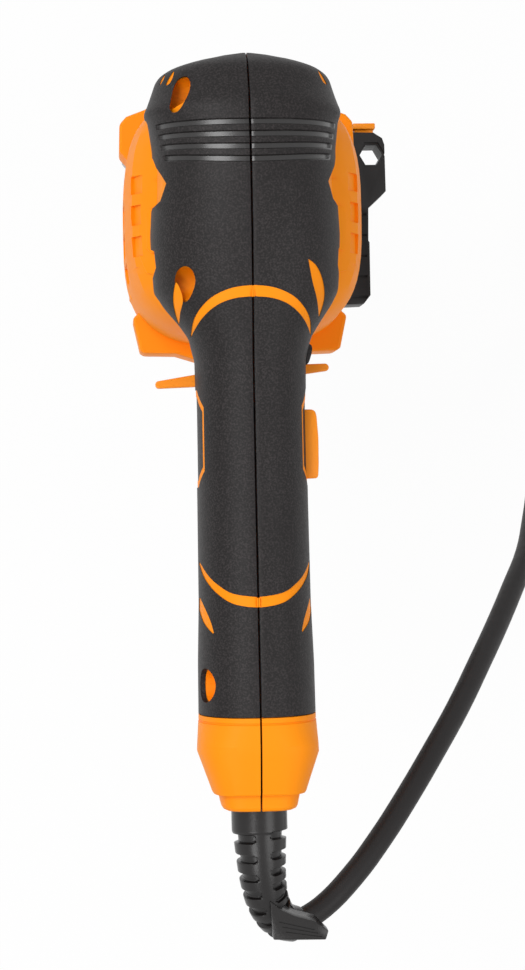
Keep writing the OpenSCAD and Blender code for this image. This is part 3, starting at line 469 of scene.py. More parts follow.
def soft_line(points, steps=6, closed=True):
    """Smooth outline through points."""
    count = len(points)
    line = []
    spans = count if closed else count - 1
    for i in range(spans):
        if closed:
            a, b, c, d = (Vector(points[(i + k) % count]) for k in (-1, 0, 1, 2))
        else:
            a, b, c, d = (Vector(points[min(max(i + k, 0), count - 1)]) for k in (-1, 0, 1, 2))
        for k in range(steps):
            t = k / steps
            line.append(0.5 * (2 * b + (c - a) * t + (2 * a - 5 * b + 4 * c - d) * t * t
                               + (3 * b - a - 3 * c + d) * t ** 3))
    if not closed:
        line.append(Vector(points[-1]))
    return line


REAR_Z = 184
FRONT_Z = 74
HEAD_TOP = 29.4
SKIN_END = -174
BASE_END = -203
SKIN_T = 1.6
BULGE = 2.25
MOTOR_Y = -18.9
SEAM_GAP = 0.3
CAP_LEAN = 0.75
# Height, half the width, depth of the back and depth of the front
SPINE = [
    (29.4, 3, 19, 27), (29, 8, 17.5, 31), (27.7, 14.3, 14.6, 37), (26.4, 20.3, 12, 43),
    (24.4, 24.9, 9.8, 50), (22.4, 27, 8.5, 54), (17.4, 28.7, 5.5, 59), (13.4, 30.1, 3.2, 60),
    (11.8, 31, 2.9, 60), (9.5, 29.7, 2.4, 60), (0, 28.5, 0.6, 60), (-12, 28.7, 0, 60),
    (-26, 29.5, 0.8, 60), (-38, 29.1, 2.6, 60), (-43.5, 28.7, 3.6, 60), (-48, 26.5, 4.6, 60),
    (-53, 22.8, 5.8, 58), (-58, 19.1, 6.9, 54.5), (-64.5, 17.3, 7.8, 52),
    (-80, 17.1, 8.5, 52), (-110, 17.2, 8.5, 52), (-140, 17.4, 7, 52),
    (-158, 18, 6, 51.5), (SKIN_END, 18.15, 5.5, 51),
]
BASE = [
    (SKIN_END, 18.15, 5.5, 51), (-175.5, 18.2, 5.4, 51), (-175.7, 17.9, 5.75, 50.8),
    (-176, 17.9, 5.75, 50.8), (-176.2, 18.25, 5.45, 51), (-182.7, 18.6, 5.5, 50.8),
    (-185.6, 18.75, 6.2, 50.5), (-197.4, 14.6, 9.6, 47.2), (-197.9, 14.3, 10, 47),
    (-198.1, 12.6, 11.2, 44.8), (-201.9, 11.8, 11.8, 44), (-202.6, 11.4, 12.2, 43.7),
    (BASE_END, 10.6, 12.9, 43),
]
BODY = [
    (30, 25.5, 19, -46), (34, 30, 20, -51), (38, 33.2, 20.5, -53), (42, 35.7, 21, -54),
    (54, 38, 22, -56), (84, 38.3, 22.2, -57), (110, 38.3, 22.2, -57),
]
LUG_EDGE = [
    (20, 27.8), (30.6, 22), (36.6, 19.8), (38.9, 17.3), (39.2, 8.2), (36.3, 5), (36.5, -40),
    (33.5, -45.4), (35.7, -47.3), (33.4, -58), (32.4, -59), (21.6, -59.3), (15, -61.4),
]
SCREWS = [(16.2, 14.5), (-41.8, 11.8), (-124, 42), (-164.5, 17.1)]
SCREW_HEAD_X = 9
RECESS_R = 5
LEVER_Z = REAR_Z - 40
BAR_Y = -68
# Facets round the housing's solids
ROUND = 64


def spine_at(y):
    """Half width, back and front at a height, eased over the stations of the grip."""
    if y <= SKIN_END:
        return between(BASE, y)
    reach = min(1.2, y - SKIN_END, HEAD_TOP - y) if y < HEAD_TOP else 0
    rows = [between(SPINE, y + reach * k / 2) for k in (-2, -1, 0, 1, 2)]
    return [sum(column) / 5 for column in zip(*rows)]


def bulge_at(y):
    """How square the section is: the foot of the grip has flatter faces."""
    return BULGE + 0.9 * smooth_step((-175 - y) / 8) + 0.8 * smooth_step((-196 - y) / 2)


def rounded_power(value, exponent):
    return math.copysign(abs(value) ** (2 / exponent), value)


def shell_point(y, turn, inset):
    """Point of the housing's skin; turn runs from 0 at the back seam to pi at the front."""
    half, back, front = spine_at(y)
    half = max(half - inset, 0.6)
    deep = (front - back) / 2 - inset
    middle = REAR_Z - (front + back) / 2
    return Vector((
        half * rounded_power(math.sin(turn), bulge_at(y)),
        y,
        middle + deep * rounded_power(math.cos(turn), bulge_at(y)),
    ))


def leant(point):
    """The head swells a little more to the left than to the right."""
    x, y, z = point
    return Vector((x - CAP_LEAN * (x / 28) ** 2 * smooth_step((y + 62) / 14), y, z))


def tube_shape(columns, rows, place):
    """Closed solid: a grid whose first and last columns meet, with both ends filled."""
    shape = grid_shape(columns, rows, place)
    bmesh.ops.remove_doubles(shape, verts=shape.verts, dist=0.001)
    rims = [e for e in shape.edges if e.is_boundary]
    bmesh.ops.holes_fill(shape, edges=rims, sides=0)
    bmesh.ops.recalc_face_normals(shape, faces=shape.faces)
    return shape


core_rows = [HEAD_TOP - 0.4 * k for k in range(9)]
core_rows += [HEAD_TOP - 3.2 - 1.4 * k for k in range(1, 145)]
core_rows = [y for y in core_rows if y > SKIN_END + 0.6] + [SKIN_END + 0.02]
core_rows += [y for y, *_ in BASE]


def core_point(i, j):
    y = core_rows[j]
    inset = SKIN_T if y > SKIN_END else 0
    return leant(shell_point(y, 2 * math.pi * i / ROUND, inset))


def body_point(i, j):
    depth, half, top, bottom = BODY[j]
    angle = 2 * math.pi * i / ROUND
    return Vector((
        half * rounded_power(math.cos(angle), 3.2),
        (top + bottom) / 2 + (top - bottom) / 2 * rounded_power(math.sin(angle), 3.2),
        REAR_Z - depth,
    ))


def mirrored(outline):
    """Outline of a flat form from its right half, drawn clockwise from the middle."""
    return outline + [(-x, y) for x, y in reversed(outline)]


def bar_slot():
    """Slot right through the grip's top, in which the lever's bar swings."""
    return block((-60, BAR_Y - 5, LEVER_Z - 1.7), (60, BAR_Y + 5, LEVER_Z + 1.7))


core = tube_shape(ROUND, len(core_rows) - 1, core_point)
body = tube_shape(ROUND, len(BODY) - 1, body_point)
flange = prism(mirrored(LUG_EDGE), FRONT_Z, FRONT_Z + 22, edge=0.9)

# Raised panels on the shoulders, beside the rubber: distance from the seam, and height
LEDGE = [(22, -9.6), (29, -8), (32.6, -12.4), (33.8, -18), (33.8, -30.6), (31.4, -36.4), (22, -39)]
LIP_EDGE = [(22, -16), (30.6, -16.9), (31.4, -19), (31.4, -28.9), (30, -30.4), (22, -31)]
panels = []
for outline, raise_x, raise_z in ((LEDGE, 0.3, 0.55), (LIP_EDGE, 0.75, 1.3)):
    for side in (-1, 1):
        panel = body.copy()
        bmesh.ops.translate(panel, verts=panel.verts, vec=(side * raise_x, 0, raise_z))
        panels.append(carved(panel, prism([(side * x, y) for x, y in outline], 120, 182), "INTERSECT"))
outer = carved(joined(core, body, *panels), flange, "UNION")

# Room for the motor, the grip's wires and switch, the strain relief, the lever and the trigger
hollow = [
    drum(33, FRONT_Z - 1, 140, (0, MOTOR_Y, 0), sides=64),
    drum(28.3, 130, 150, (0, MOTOR_Y, 0), sides=64),
    drum(20, 140, 168, (0, MOTOR_Y, 0)),
    drum(12.4, 34, 195, (0, 0, REAR_Z - 26), axis="Y"),
    drum(12.4, 34, 195, (0, 0, REAR_Z - 36.6), axis="Y"),
    block((-12.4, -195, REAR_Z - 36.6), (12.4, -34, REAR_Z - 26)),
    drum(8.95, 190, 212, (0, 0, REAR_Z - 26), axis="Y"),
    bar_slot(),
    block((-8.1, -100.7, 117), (8.1, -71.3, 138)),
    block((-8.1, -110.3, 135), (8.1, -100, 140)),
]
for height, depth in SCREWS:
    hollow.append(drum(RECESS_R, -80, -SCREW_HEAD_X - 2.6, (0, height, REAR_Z - depth), axis="X"))
for side in (-1, 1):
    for x, y in ((33.7, 12.2), (28.9, -53.2)):
        hollow.append(drum(1.75, FRONT_Z - 1, FRONT_Z + 16, (side * x, y, 0), sides=24))
# Air slots in the flanks, and the blind ones that show on their rear shoulders
for low, high in ((-8.4, -3), (-18.2, -12.2), (-28, -22), (-37, -31.6)):
    for side in (-1, 1):
        near, far = sorted((side * 30, side * 60))
        hollow.append(block((near, low, 96), (far, high, 120)))
        near, far = sorted((side * 36.9, side * 60))
        hollow.append(block((near, low - 0.7, 94), (far, high + 0.7, 123)))
        blind = block((-0.75, low - 2.9, -3.7), (8, high - 2.6, 3.7))
        turned_in = Matrix.Rotation(math.radians(-22), 3, "Y")
        bmesh.ops.rotate(blind, cent=(0, 0, 0), matrix=turned_in, verts=blind.verts)
        if side < 0:
            bmesh.ops.scale(blind, vec=(-1, 1, 1), verts=blind.verts)
            bmesh.ops.reverse_faces(blind, faces=blind.faces)
        bmesh.ops.translate(blind, vec=(side * 34.3, 0, REAR_Z - 40.2), verts=blind.verts)
        hollow.append(blind)
shell = carved(outer, joined(*hollow))

orange = Finish("housing_orange")
orange_grain = orange.noise(2400, 2)
orange.shade(
    Base_Color=orange.mixed(orange.noise(35, 3), (0.99, 0.272, 0.001, 1), (1.0, 0.302, 0.002, 1)),
    Roughness=0.46 + orange.noise(500, 2) * 0.12,
    Specular_IOR_Level=0.17,
    Normal=orange.raised(orange_grain, 0.05 * MM, 0.5),
)


def half_of(shape, side, gap):
    """The part of a closed shape on one side of the seam, closed again."""
    part = shape.copy()
    cut = bmesh.ops.bisect_plane(
        part, geom=part.verts[:] + part.edges[:] + part.faces[:], dist=0.0001,
        plane_co=(side * gap, 0, 0), plane_no=(side, 0, 0), clear_inner=True,
    )
    edges = [e for e in cut["geom_cut"] if isinstance(e, bmesh.types.BMEdge)]
    bmesh.ops.triangle_fill(part, use_beauty=True, use_dissolve=False, edges=edges)
    return part


def lock_opening(inner):
    """Opening for the lock button, from inner out through the right flank."""
    return block((inner, -102.3, REAR_Z - 35.3), (60, -79.7, REAR_Z - 25.7))


for side, name in ((-1, "left"), (1, "right")):
    half = half_of(shell, side, SEAM_GAP)
    if side > 0:
        half = carved(half, lock_opening(10.6))
    piece_of(f"{name}_housing_shell", half, orange, "tool",
             (f"{name}_housing",), sharp=18)
shell.free()


# ---- rubber overmould ----
# Soft black rubber moulded over each half, 1.6 mm thick, with a fine matt grain. Its edge has
# a rounded lip, four polished grooves cross the back, and windows show the orange nylon.
# Height of the rubber's edge and its distance from the seam
OUTLINE = [
    (11.2, 32), (7, 30.6), (6.6, 29.4), (0, 28.9), (-5.5, 27.6), (-11, 25), (-16.4, 26.8),
    (-17.6, 29), (-29.4, 29.8), (-31, 28.6), (-36, 28.2), (-38.8, 29), (-43.3, 28.7),
    (-47.7, 26.7), (-53, 22.5), (-56, 20), (-59.4, 18.3), (-62, 17.6),
]
# The edge leaves the head's outline for the neck's between two heights, and round the cap, above
# another, it keeps to one depth
HEAD_END, NECK_START, CAP_START = -43.3, -46.5, 10.6
# Lower down the edge runs along the flank: height and depth
NECK_EDGE = [(NECK_START, 27), (-54, 25.5), (-58, 27), (-62, 32), (-65, 39), (-68, 43), (-75, 44)]
GROOVES = (6.1, 2.3, -1.5, -5.3)
GROOVE_DEPTH = 0.75
LIP = ((0, 0.5), (0.18, 0.16), (0.5, 0))
SKIN_ROW = 0.62
SKIN_COLUMNS = 46
ROW_STEPS = 90


def groove_lift(y):
    """How far a groove's ends stand above its middle."""
    rise = 0.5 + (GROOVES[0] - y) / 11.4 * 1.7
    return max(rise, 0) * smooth_step((14 - y) / 6) * smooth_step((y + 24) / 16)


def groove_share(x, y):
    """1 on a groove's floor, 0 beside it."""
    away = min(abs(y - middle) for middle in GROOVES)
    end = 27.3 - (GROOVES[0] - y) * 0.17
    return smooth_step((1.02 - away) / 0.3) * smooth_step((end - abs(x)) / 0.5)


def turn_at_depth(y, depth):
    """Where the section at a height reaches a depth behind the rear-most face."""
    half, back, front = spine_at(y)
    share = ((back + front) / 2 - depth) / ((front - back) / 2)
    return math.acos(max(-1, min(1, math.copysign(abs(share) ** (BULGE / 2), share))))


def skin_end_turn(y):
    if y > CAP_START:
        return turn_at_depth(y, min(33, spine_at(y)[2] - 6))
    if y < NECK_START:
        return turn_at_depth(y, between(NECK_EDGE, y)[0])
    half = spine_at(y)[0]
    share = min(between(OUTLINE, y)[0] / half, 0.9995)
    turn = math.asin(share ** (BULGE / 2))
    if y < HEAD_END:
        turn += (turn_at_depth(y, NECK_EDGE[0][1]) - turn) * smooth_step((HEAD_END - y) / 3.2)
    return turn


def skin_rows():
    """Heights of the rows, with a row at each corner of the outline and of each groove."""
    fixed = [HEAD_TOP - 0.02, SKIN_END + 0.3] + [y for y, _ in OUTLINE]
    for middle in GROOVES:
        fixed += [middle + d for d in (-1.05, -0.85, -0.7, 0.7, 0.85, 1.05)]
    fixed.sort(reverse=True)
    rows = []
    for upper, lower in zip(fixed, fixed[1:]):
        count = max(1, math.ceil((upper - lower) / SKIN_ROW))
        rows += [upper + (lower - upper) * k / count for k in range(count)]
    return rows + [fixed[-1]]


def skin_row(y):
    """Points of one row, from the seam to the outline, at even steps along the surface."""
    lift = groove_lift(y)

    def raised_place(turn, inset):
        x = shell_point(y, turn, inset).x
        return shell_point(min(y + lift * (x / 26) ** 2, HEAD_TOP - 0.02), turn, inset)

    first = math.asin((0.17 / spine_at(y)[0]) ** (BULGE / 2))
    end_y = y
    for _ in range(3):
        last = skin_end_turn(end_y)
        end_y = y + lift * (shell_point(y, last, 0).x / 26) ** 2
    turns = [first + (last - first) * k / ROW_STEPS for k in range(ROW_STEPS + 1)]
    places = [raised_place(turn, 0) for turn in turns]
    along = [0]
    for a, b in zip(places, places[1:]):
        along.append(along[-1] + (b - a).length)
    whole = along[-1]
    lips = min(1, whole / 4)
    inner = SKIN_COLUMNS - 2 * len(LIP) + 2
    spots = [(d * lips, inset) for d, inset in LIP]
    spots += [(0.5 * lips + (whole - lips) * k / inner, 0) for k in range(1, inner)]
    spots += [(whole - d * lips, inset) for d, inset in reversed(LIP)]
    row = []
    k = 0
    for spot, inset in spots:
        while k < ROW_STEPS - 1 and along[k + 1] < spot:
            k += 1
        share = (spot - along[k]) / max(along[k + 1] - along[k], 1e-9)
        turn = turns[k] + (turns[k + 1] - turns[k]) * share
        x = shell_point(y, turn, 0).x
        row.append(raised_place(turn, inset + GROOVE_DEPTH * groove_share(x, y)))
    return row


def tipped(outer, inner):
    """Outline of a crescent from its two edges, which share their ends or the seam."""
    return soft_line(outer, 5, False) + soft_line(inner, 5, False)


# Windows of the right half: across from the seam, and height
ARCH = tipped(
    [(-0.6, -43), (6, -43.7), (11.7, -45.9), (15.4, -49), (17.8, -52.8), (18.6, -57.4)],
    [(18.3, -57.4), (17.4, -55.6), (15.5, -52.8), (12.8, -50.2), (9.5, -48.2), (5, -46.9), (-0.6, -46.5)],
)
LOW_ARC = tipped(
    [(-0.6, -137.4), (7.6, -136.2), (12.4, -133.2), (15, -130.4), (17, -126.8)],
    [(17.2, -127.4), (15.9, -131.6), (13, -135.6), (8.6, -138.9), (4, -140.2), (-0.6, -140.6)],
)
LEAF = tipped(
    [(17.2, -35.2), (19.9, -37.3), (21.9, -41.6), (22.5, -46.8), (21.1, -52.2)],
    [(20.9, -52), (19.9, -47), (18.4, -42), (17.1, -35.5)],
)
LOW_LEAF = tipped(
    [(17.3, -138), (17.4, -141.6), (16.2, -145.6), (13.7, -148.6)],
    [(13.4, -148.2), (14.3, -144.8), (15.6, -141.4), (17, -138)],
)
CAP_LEAF = soft_line([(22.2, 24), (23.2, 22.6), (24.8, 19.6), (23.6, 19.9), (22.5, 22)], 4)
CAP_LEAF_SMALL = soft_line([(25, 23.4), (26, 21.8), (26.6, 20), (25.9, 20.8), (25.1, 22.4)], 4)
SIDE_WINDOW = [(60, -72.8), (25, -73.8), (18.6, -79.2), (18.6, -98.8), (25, -103.8), (60, -104.8)]
SIDE_PATCH = [(43.2, -75.4), (26.4, -76.2), (20.3, -80.6), (20.3, -97.6), (26.4, -101.6), (43.2, -102.4)]
# Openings over two screws of the left half, and the leaf beside the lower one
SCREW_SLOT = soft_line([
    (-18.6, 21.4), (-17.5, 19.7), (-17.8, 16.6), (-19.3, 13.3), (-21.2, 10.5), (-23, 10.1),
    (-23.9, 11.6), (-23.4, 14.6), (-22.5, 18.2), (-20.9, 20.9),
], 4)
SCREW_EGG = soft_line([
    (-20.3, -36.6), (-18.2, -37.8), (-17.2, -40.6), (-17.6, -43.4), (-19, -46.4), (-20.4, -47.4),
    (-21.9, -46.4), (-22.9, -43.4), (-23.3, -40.5), (-22.4, -37.8),
], 4)
LEFT_LEAF = soft_line([
    (-23.1, -41.4), (-23.9, -45.4), (-23.5, -49.4), (-22.1, -53.4),
    (-21.7, -50.2), (-20.9, -46.8), (-21.9, -43),
], 4)


def flat(outline, side):
    return [(side * x, y) for x, y in outline]


def shrunk(outline, by):
    """Outline with every side moved inwards."""
    count = len(outline)
    points = [Vector(p[:2]) for p in outline]
    area = sum(points[i - 1].cross(points[i]) for i in range(count))
    moved = []
    for i, here in enumerate(points):
        course = (points[(i + 1) % count] - points[i - 1]).normalized()
        inward = Vector((-course.y, course.x)) * (1 if area > 0 else -1)
        moved.append(here + inward * by)
    return moved


def sideways(outline, side):
    """Prism along X from an outline of depths and heights."""
    near, far = sorted((side * 11, side * 60))
    return prism([(depth - REAR_Z, y) for depth, y in outline], near, far, axis="X")


rubber = Finish("overmould_rubber")
rubber_polish = rubber.attribute("polish")
rubber_grain = rubber.noise(1750, 3)
rubber_sheen = rubber_grain.over(0.4, 0.72) * (1 - rubber_polish * 0.8)
rubber.shade(
    Base_Color=rubber.mixed(
        rubber_sheen * (0.5 + rubber.noise(40, 3)), (0.0048, 0.0036, 0.0036, 1), (0.029, 0.024, 0.0245, 1)),
    Roughness=0.47 - rubber_polish * 0.27 + rubber.noise(700, 2) * 0.1,
    Specular_IOR_Level=0.26,
    Coat_Weight=rubber_polish * 0.8,
    Coat_Roughness=0.3,
    Normal=rubber.raised(rubber_grain * (1 - rubber_polish * 0.85), 0.13 * MM, 0.9),
)

# Depth that the deepest windows reach, behind the rear-most face
DEEP = 34
heights = skin_rows()
rows = [skin_row(y) for y in heights]
for side, name in ((-1, "left"), (1, "right")):
    skin = grid_shape(
        len(rows[0]) - 1, len(rows) - 1,
        lambda i, j, side=side: leant((side * rows[j][i].x, rows[j][i].y, rows[j][i].z)),
    )
    bmesh.ops.recalc_face_normals(skin, faces=skin.faces)
    middle = min(skin.faces, key=lambda f: (f.calc_center_median() - Vector((side * 8, -90, 175))).length)
    if middle.normal.z < 0:
        bmesh.ops.reverse_faces(skin, faces=skin.faces)
    bmesh.ops.solidify(skin, geom=skin.faces, thickness=SKIN_T - 0.1)
    windows = [(flat(w, side), depth) for w, depth in (
        (ARCH, DEEP), (LOW_ARC, DEEP), (LOW_LEAF, 27), (CAP_LEAF, 26), (CAP_LEAF_SMALL, 26))]
    windows.append((flat(LEAF, 1) if side > 0 else LEFT_LEAF, DEEP))
    trim = skin.copy()
    trim.normal_update()
    for vert in trim.verts:
        vert.co -= vert.normal * 0.2
    ring = trim.copy()
    fills = [prism(shrunk(w, 0.04), REAR_Z - depth, 200) for w, depth in windows]
    trim = carved(trim, joined(*fills), "INTERSECT")
    side_trim = carved(ring, sideways(SIDE_WINDOW, side), "INTERSECT")
    trim = joined(trim, carved(side_trim, sideways(shrunk(SIDE_PATCH, -0.15), side)))
    near, far = sorted((side * 0.06, side * 0.45))
    # Orange lip beside the seam where an arc crosses it
    for low, high, top in ((-46.6, -43.2, 3.9), (-140.4, -137.6, 6.6)):
        trim = joined(trim, block((near, low, REAR_Z - top - 3), (far, high, REAR_Z - top)))
    piece_of(f"{name}_window_trim", trim, orange, "tool", sharp=30)
    if side < 0:
        windows += [(SCREW_SLOT, DEEP), (SCREW_EGG, DEEP)]
    cuts = [prism(w, REAR_Z - depth, 200) for w, depth in windows]
    cuts.append(sideways(SIDE_WINDOW, side))
    cuts.append(bar_slot())
    if side < 0:
        for height, depth in SCREWS:
            if depth < 30 and height < -60:
                hole = (0, height, REAR_Z - depth)
                cuts.append(drum(RECESS_R + 0.25, -80, -SCREW_HEAD_X - 2, hole, axis="X"))
    skin = carved(skin, joined(*cuts))
    layer = skin.verts.layers.float.new("polish")
    for vert in skin.verts:
        x, y, z = vert.co
        if -12 < y < 12 and z > 150:
            vert[layer] = groove_share(x, y - groove_lift(y) * (x / 26) ** 2)
    piece_of(f"{name}_overmould", skin, rubber, "tool", (f"{name}_grip_skin",), sharp=32)

# Tongue of the left half that closes the seam from within
tongue_rows = [HEAD_TOP - 0.05 - 1.3 * k for k in range(179)]
tongue_rows = [y for y in tongue_rows if y > BASE_END + 1]
tongue_strip = grid_shape(
    1, len(tongue_rows) - 1,
    lambda i, j: Vector((0.1, tongue_rows[j], shell_point(tongue_rows[j], 0, 1.1 + 2.2 * i).z)),
)
bmesh.ops.solidify(tongue_strip, geom=tongue_strip.faces, thickness=0.2)
piece_of("seam_tongue", tongue_strip, rubber, "tool")

# Grip patches: a second rubber insert in the window on each flank
PATCH_ROWS = [-73 - 1.1 * k for k in range(31)]
for side, name in ((-1, "left"), (1, "right")):
    patch = grid_shape(
        24, len(PATCH_ROWS) - 1,
        lambda i, j, side=side: shell_point(
            PATCH_ROWS[j], side * math.radians(52 + 76 * i / 24), 0.35),
    )
    bmesh.ops.recalc_face_normals(patch, faces=patch.faces)
    if min(patch.faces, key=lambda f: abs(f.calc_center_median().y + 90)).normal.x * side < 0:
        bmesh.ops.reverse_faces(patch, faces=patch.faces)
    bmesh.ops.solidify(patch, geom=patch.faces, thickness=1.2)
    patch = carved(patch, sideways(SIDE_PATCH, side), "INTERSECT")
    if side > 0:
        patch = carved(patch, lock_opening(8))
    piece_of(f"{name}_grip_patch", patch, rubber, "tool", (f"{name}_inlay",))


# ---- strain relief ----
# Soft rubber sleeve, slotted from both sides so that it bends, with a solid spine between the
# slots. It ends in a ribbed hook that holds the cord, and its collar sits in the housing.
CORD_DEPTH = REAR_Z - 26
SLEEVE_LINE = soft_line([
    Vector((0, -199, CORD_DEPTH)), Vector((0, -208, CORD_DEPTH)), Vector((0.2, -216, CORD_DEPTH)),
    Vector((0.8, -225, 157)), Vector((2.4, -233, 155)), Vector((6, -239, 151.5)),
    Vector((11.5, -241.4, 148)),
], 40, False)
LEFT_SLOTS = (9.2, 15, 20.4, 25.4, 30, 34.2, 38)
RIGHT_SLOTS = (8.4, 14.2, 19.2, 23.8, 28, 32)
SLEEVE_START = -4
SLEEVE_R = 8.65
SLEEVE_ROWS = 230
SLEEVE_COLUMNS = 96

sleeve_along = [SLEEVE_START]
for a, b in zip(SLEEVE_LINE, SLEEVE_LINE[1:]):
    sleeve_along.append(sleeve_along[-1] + (b - a).length)


def sleeve_frame(at):
    """Place and across directions of the sleeve's line at a length from the housing."""
    k = 0
    while k < len(SLEEVE_LINE) - 2 and sleeve_along[k + 1] < at:
        k += 1
    share = (at - sleeve_along[k]) / (sleeve_along[k + 1] - sleeve_along[k])
    place = SLEEVE_LINE[k].lerp(SLEEVE_LINE[k + 1], share)
    low, high = max(k - 8, 0), min(k + 9, len(SLEEVE_LINE) - 1)
    course = (SLEEVE_LINE[high] - SLEEVE_LINE[low]).normalized()
    side = course.cross(Vector((0, 0, 1))).normalized() * -1
    return place, side, side.cross(course) * -1


def slot_share(at, turn):
    """1 in a slot of the sleeve, 0 on a land; turn is 0 at the back and grows to the right."""
    deepest = 0
    for slots, sign, start in ((LEFT_SLOTS, -1, 13), (RIGHT_SLOTS, 1, 21)):
        swing = math.degrees(turn) * sign
        if swing < 0:
            swing += 360
        if swing > 180:
            continue
        for spot in slots:
            width = 1.25 - 0.011 * spot
            inside = min(swing - start, 165 - swing) * math.radians(7)
            rounded = math.sqrt(max(0, 1 - (max(0, 1.1 - inside) / 1.1) ** 2)) if inside > 0 else 0
            wide = smooth_step((width * rounded - abs(at - spot) + 0.16) / 0.32)
            deepest = max(deepest, wide * (inside > 0))
    return deepest


sleeve_end = sleeve_along[-1]
sleeve_steps = [SLEEVE_START + (sleeve_end - SLEEVE_START) * j / SLEEVE_ROWS
                for j in range(SLEEVE_ROWS + 1)]
sleeve_frames = [sleeve_frame(at) for at in sleeve_steps]


def sleeve_point(i, j):
    at = sleeve_steps[j]
    place, side, back = sleeve_frames[j]
    turn = 2 * math.pi * i / SLEEVE_COLUMNS
    radius = SLEEVE_R - 0.35 * smooth_step((at - 7) / 1.2) - max(at - 8, 0) / (sleeve_end - 8) * 2.7
    if turn > math.pi:
        turn -= 2 * math.pi
    radius -= (1.55 - at * 0.012) * slot_share(at, turn)
    if sleeve_end - at < 0.9:
        radius -= (0.9 - (sleeve_end - at)) ** 2 * 0.7
    return place + (side * math.sin(turn) + back * math.cos(turn)) * radius


sleeve = tube_shape(SLEEVE_COLUMNS, SLEEVE_ROWS, sleeve_point)
TONGUE = [
    (2.5, -28.5), (5.4, -31.2), (9.8, -33.4), (16.4, -35.3),
    (20.5, -38.2), (19.6, -41), (8, -40.8), (3.4, -40.6),
]
tongue = prism([(x, y + BASE_END) for x, y in TONGUE], 157, 163)
for vert in tongue.verts:
    if vert.co.z < 160 and vert.co.y > BASE_END - 35.5:
        vert.co.y += 1.3
round_edges(tongue, 0.35, 25)
ribs = []
for k in range(3):
    rib = block((-5.6, -0.17, 162.6), (5.6, 0.17, 164))
    slope = Matrix.Rotation(math.radians(-14 + 2.5 * k), 3, "Z")
    bmesh.ops.rotate(rib, cent=(0, 0, 0), matrix=slope, verts=rib.verts)
    bmesh.ops.translate(rib, vec=(10.6 + 1.1 * k, BASE_END - 36.4 - 1.35 * k, 0), verts=rib.verts)
    ribs.append(rib)
tongue = carved(tongue, joined(*ribs))
relief = joined(sleeve, tongue)
sleeve_rubber = Finish("strain_relief_rubber")
sleeve_rubber.shade(
    Base_Color=sleeve_rubber.mixed(
        sleeve_rubber.noise(40, 2), (0.0036, 0.0028, 0.0028, 1), (0.008, 0.0064, 0.0064, 1)),
    Roughness=0.24 + sleeve_rubber.noise(900, 2) * 0.12,
    Specular_IOR_Level=0.42,
    Normal=sleeve_rubber.raised(sleeve_rubber.noise(1700, 2), 0.06 * MM, 0.5),
)
piece_of("strain_relief", relief, sleeve_rubber, "tool", ("cord_sleeve",), sharp=38)


# ---- tab under the head ----
# Short black rubber stop beside the grip, moulded with the overmould. It keeps the lever from
# being struck in use.
TAB = [(17.2, -60), (18.9, -60.2), (19.3, -61.6), (18.7, -64.2), (17.9, -66), (17, -65.6)]
tab = prism(soft_line(TAB, 4), 149, 157)
round_edges(tab, 0.3, 40)
piece_of("grip_stop", tab, rubber, "tool")


# ---- housing screws ----
# Pan-head screws of zinc-plated steel, sunk in the left half. They run through the seam and
# bite into bosses of the right half.
def finished(name, finish, width=0.25, angle=32, merge=1.5, sharp=28, reshape=None):
    """A CAD piece with its triangles merged and its edges rounded, in its place."""
    node = nodes[name]
    shape = bmesh.new()
    shape.from_mesh(node.data)
    bmesh.ops.scale(shape, vec=(1 / MM, 1 / MM, 1 / MM), verts=shape.verts)
    bmesh.ops.remove_doubles(shape, verts=shape.verts, dist=0.003)
    bmesh.ops.dissolve_limit(
        shape, angle_limit=math.radians(merge), verts=shape.verts, edges=shape.edges,
        use_dissolve_boundaries=False,
    )
    bmesh.ops.recalc_face_normals(shape, faces=shape.faces)
    if reshape:
        reshape(shape)
    if width:
        round_edges(shape, width, angle)
    return piece_of(f"{name}_piece", shape, finish, body_of(node)[0], (name,), sharp)


def coated(finish, *names):
    """Gives CAD pieces whose shape stays a finish."""
    for name in names:
        for held in nodes[name].material_slots:
            held.link = "OBJECT"
            held.material = finish.material
        if not nodes[name].material_slots:
            nodes[name].data.materials.append(finish.material)


steel = Finish("zinc_plated_steel")
steel.shade(
    Base_Color=steel.mixed(steel.noise(300, 3), (0.42, 0.42, 0.43, 1), (0.56, 0.56, 0.57, 1)),
    Metallic=1.0,
    Roughness=0.3 + steel.noise(1400, 2) * 0.14,
    Normal=steel.raised(steel.noise(2200, 2), 0.01 * MM, 0.4),
)

finished("housing_screws", steel, 0.2, 40)


# ---- trigger, speed dial, lock button and direction lever ----
# The orange nylon trigger slides into the front of the grip and carries the black speed dial.
# The lock button is pressed in from the right, and the lever's bar pokes out on both sides.
control = Finish("control_orange")
control.shade(
    Base_Color=control.mixed(control.noise(50, 2), (0.97, 0.27, 0.001, 1), (1.0, 0.31, 0.002, 1)),
    Roughness=0.38 + control.noise(700, 2) * 0.12,
    Specular_IOR_Level=0.34,
    Normal=control.raised(control.noise(1800, 2), 0.03 * MM, 0.4),
)

nylon = Finish("black_nylon")
nylon.shade(
    Base_Color=nylon.mixed(nylon.noise(45, 3), (0.0052, 0.0042, 0.0042, 1), (0.0105, 0.0085, 0.0085, 1)),
    Roughness=0.4 + nylon.noise(800, 2) * 0.16,
    Specular_IOR_Level=0.28,
    Normal=nylon.raised(nylon.noise(1500, 3), 0.06 * MM, 0.6),
)

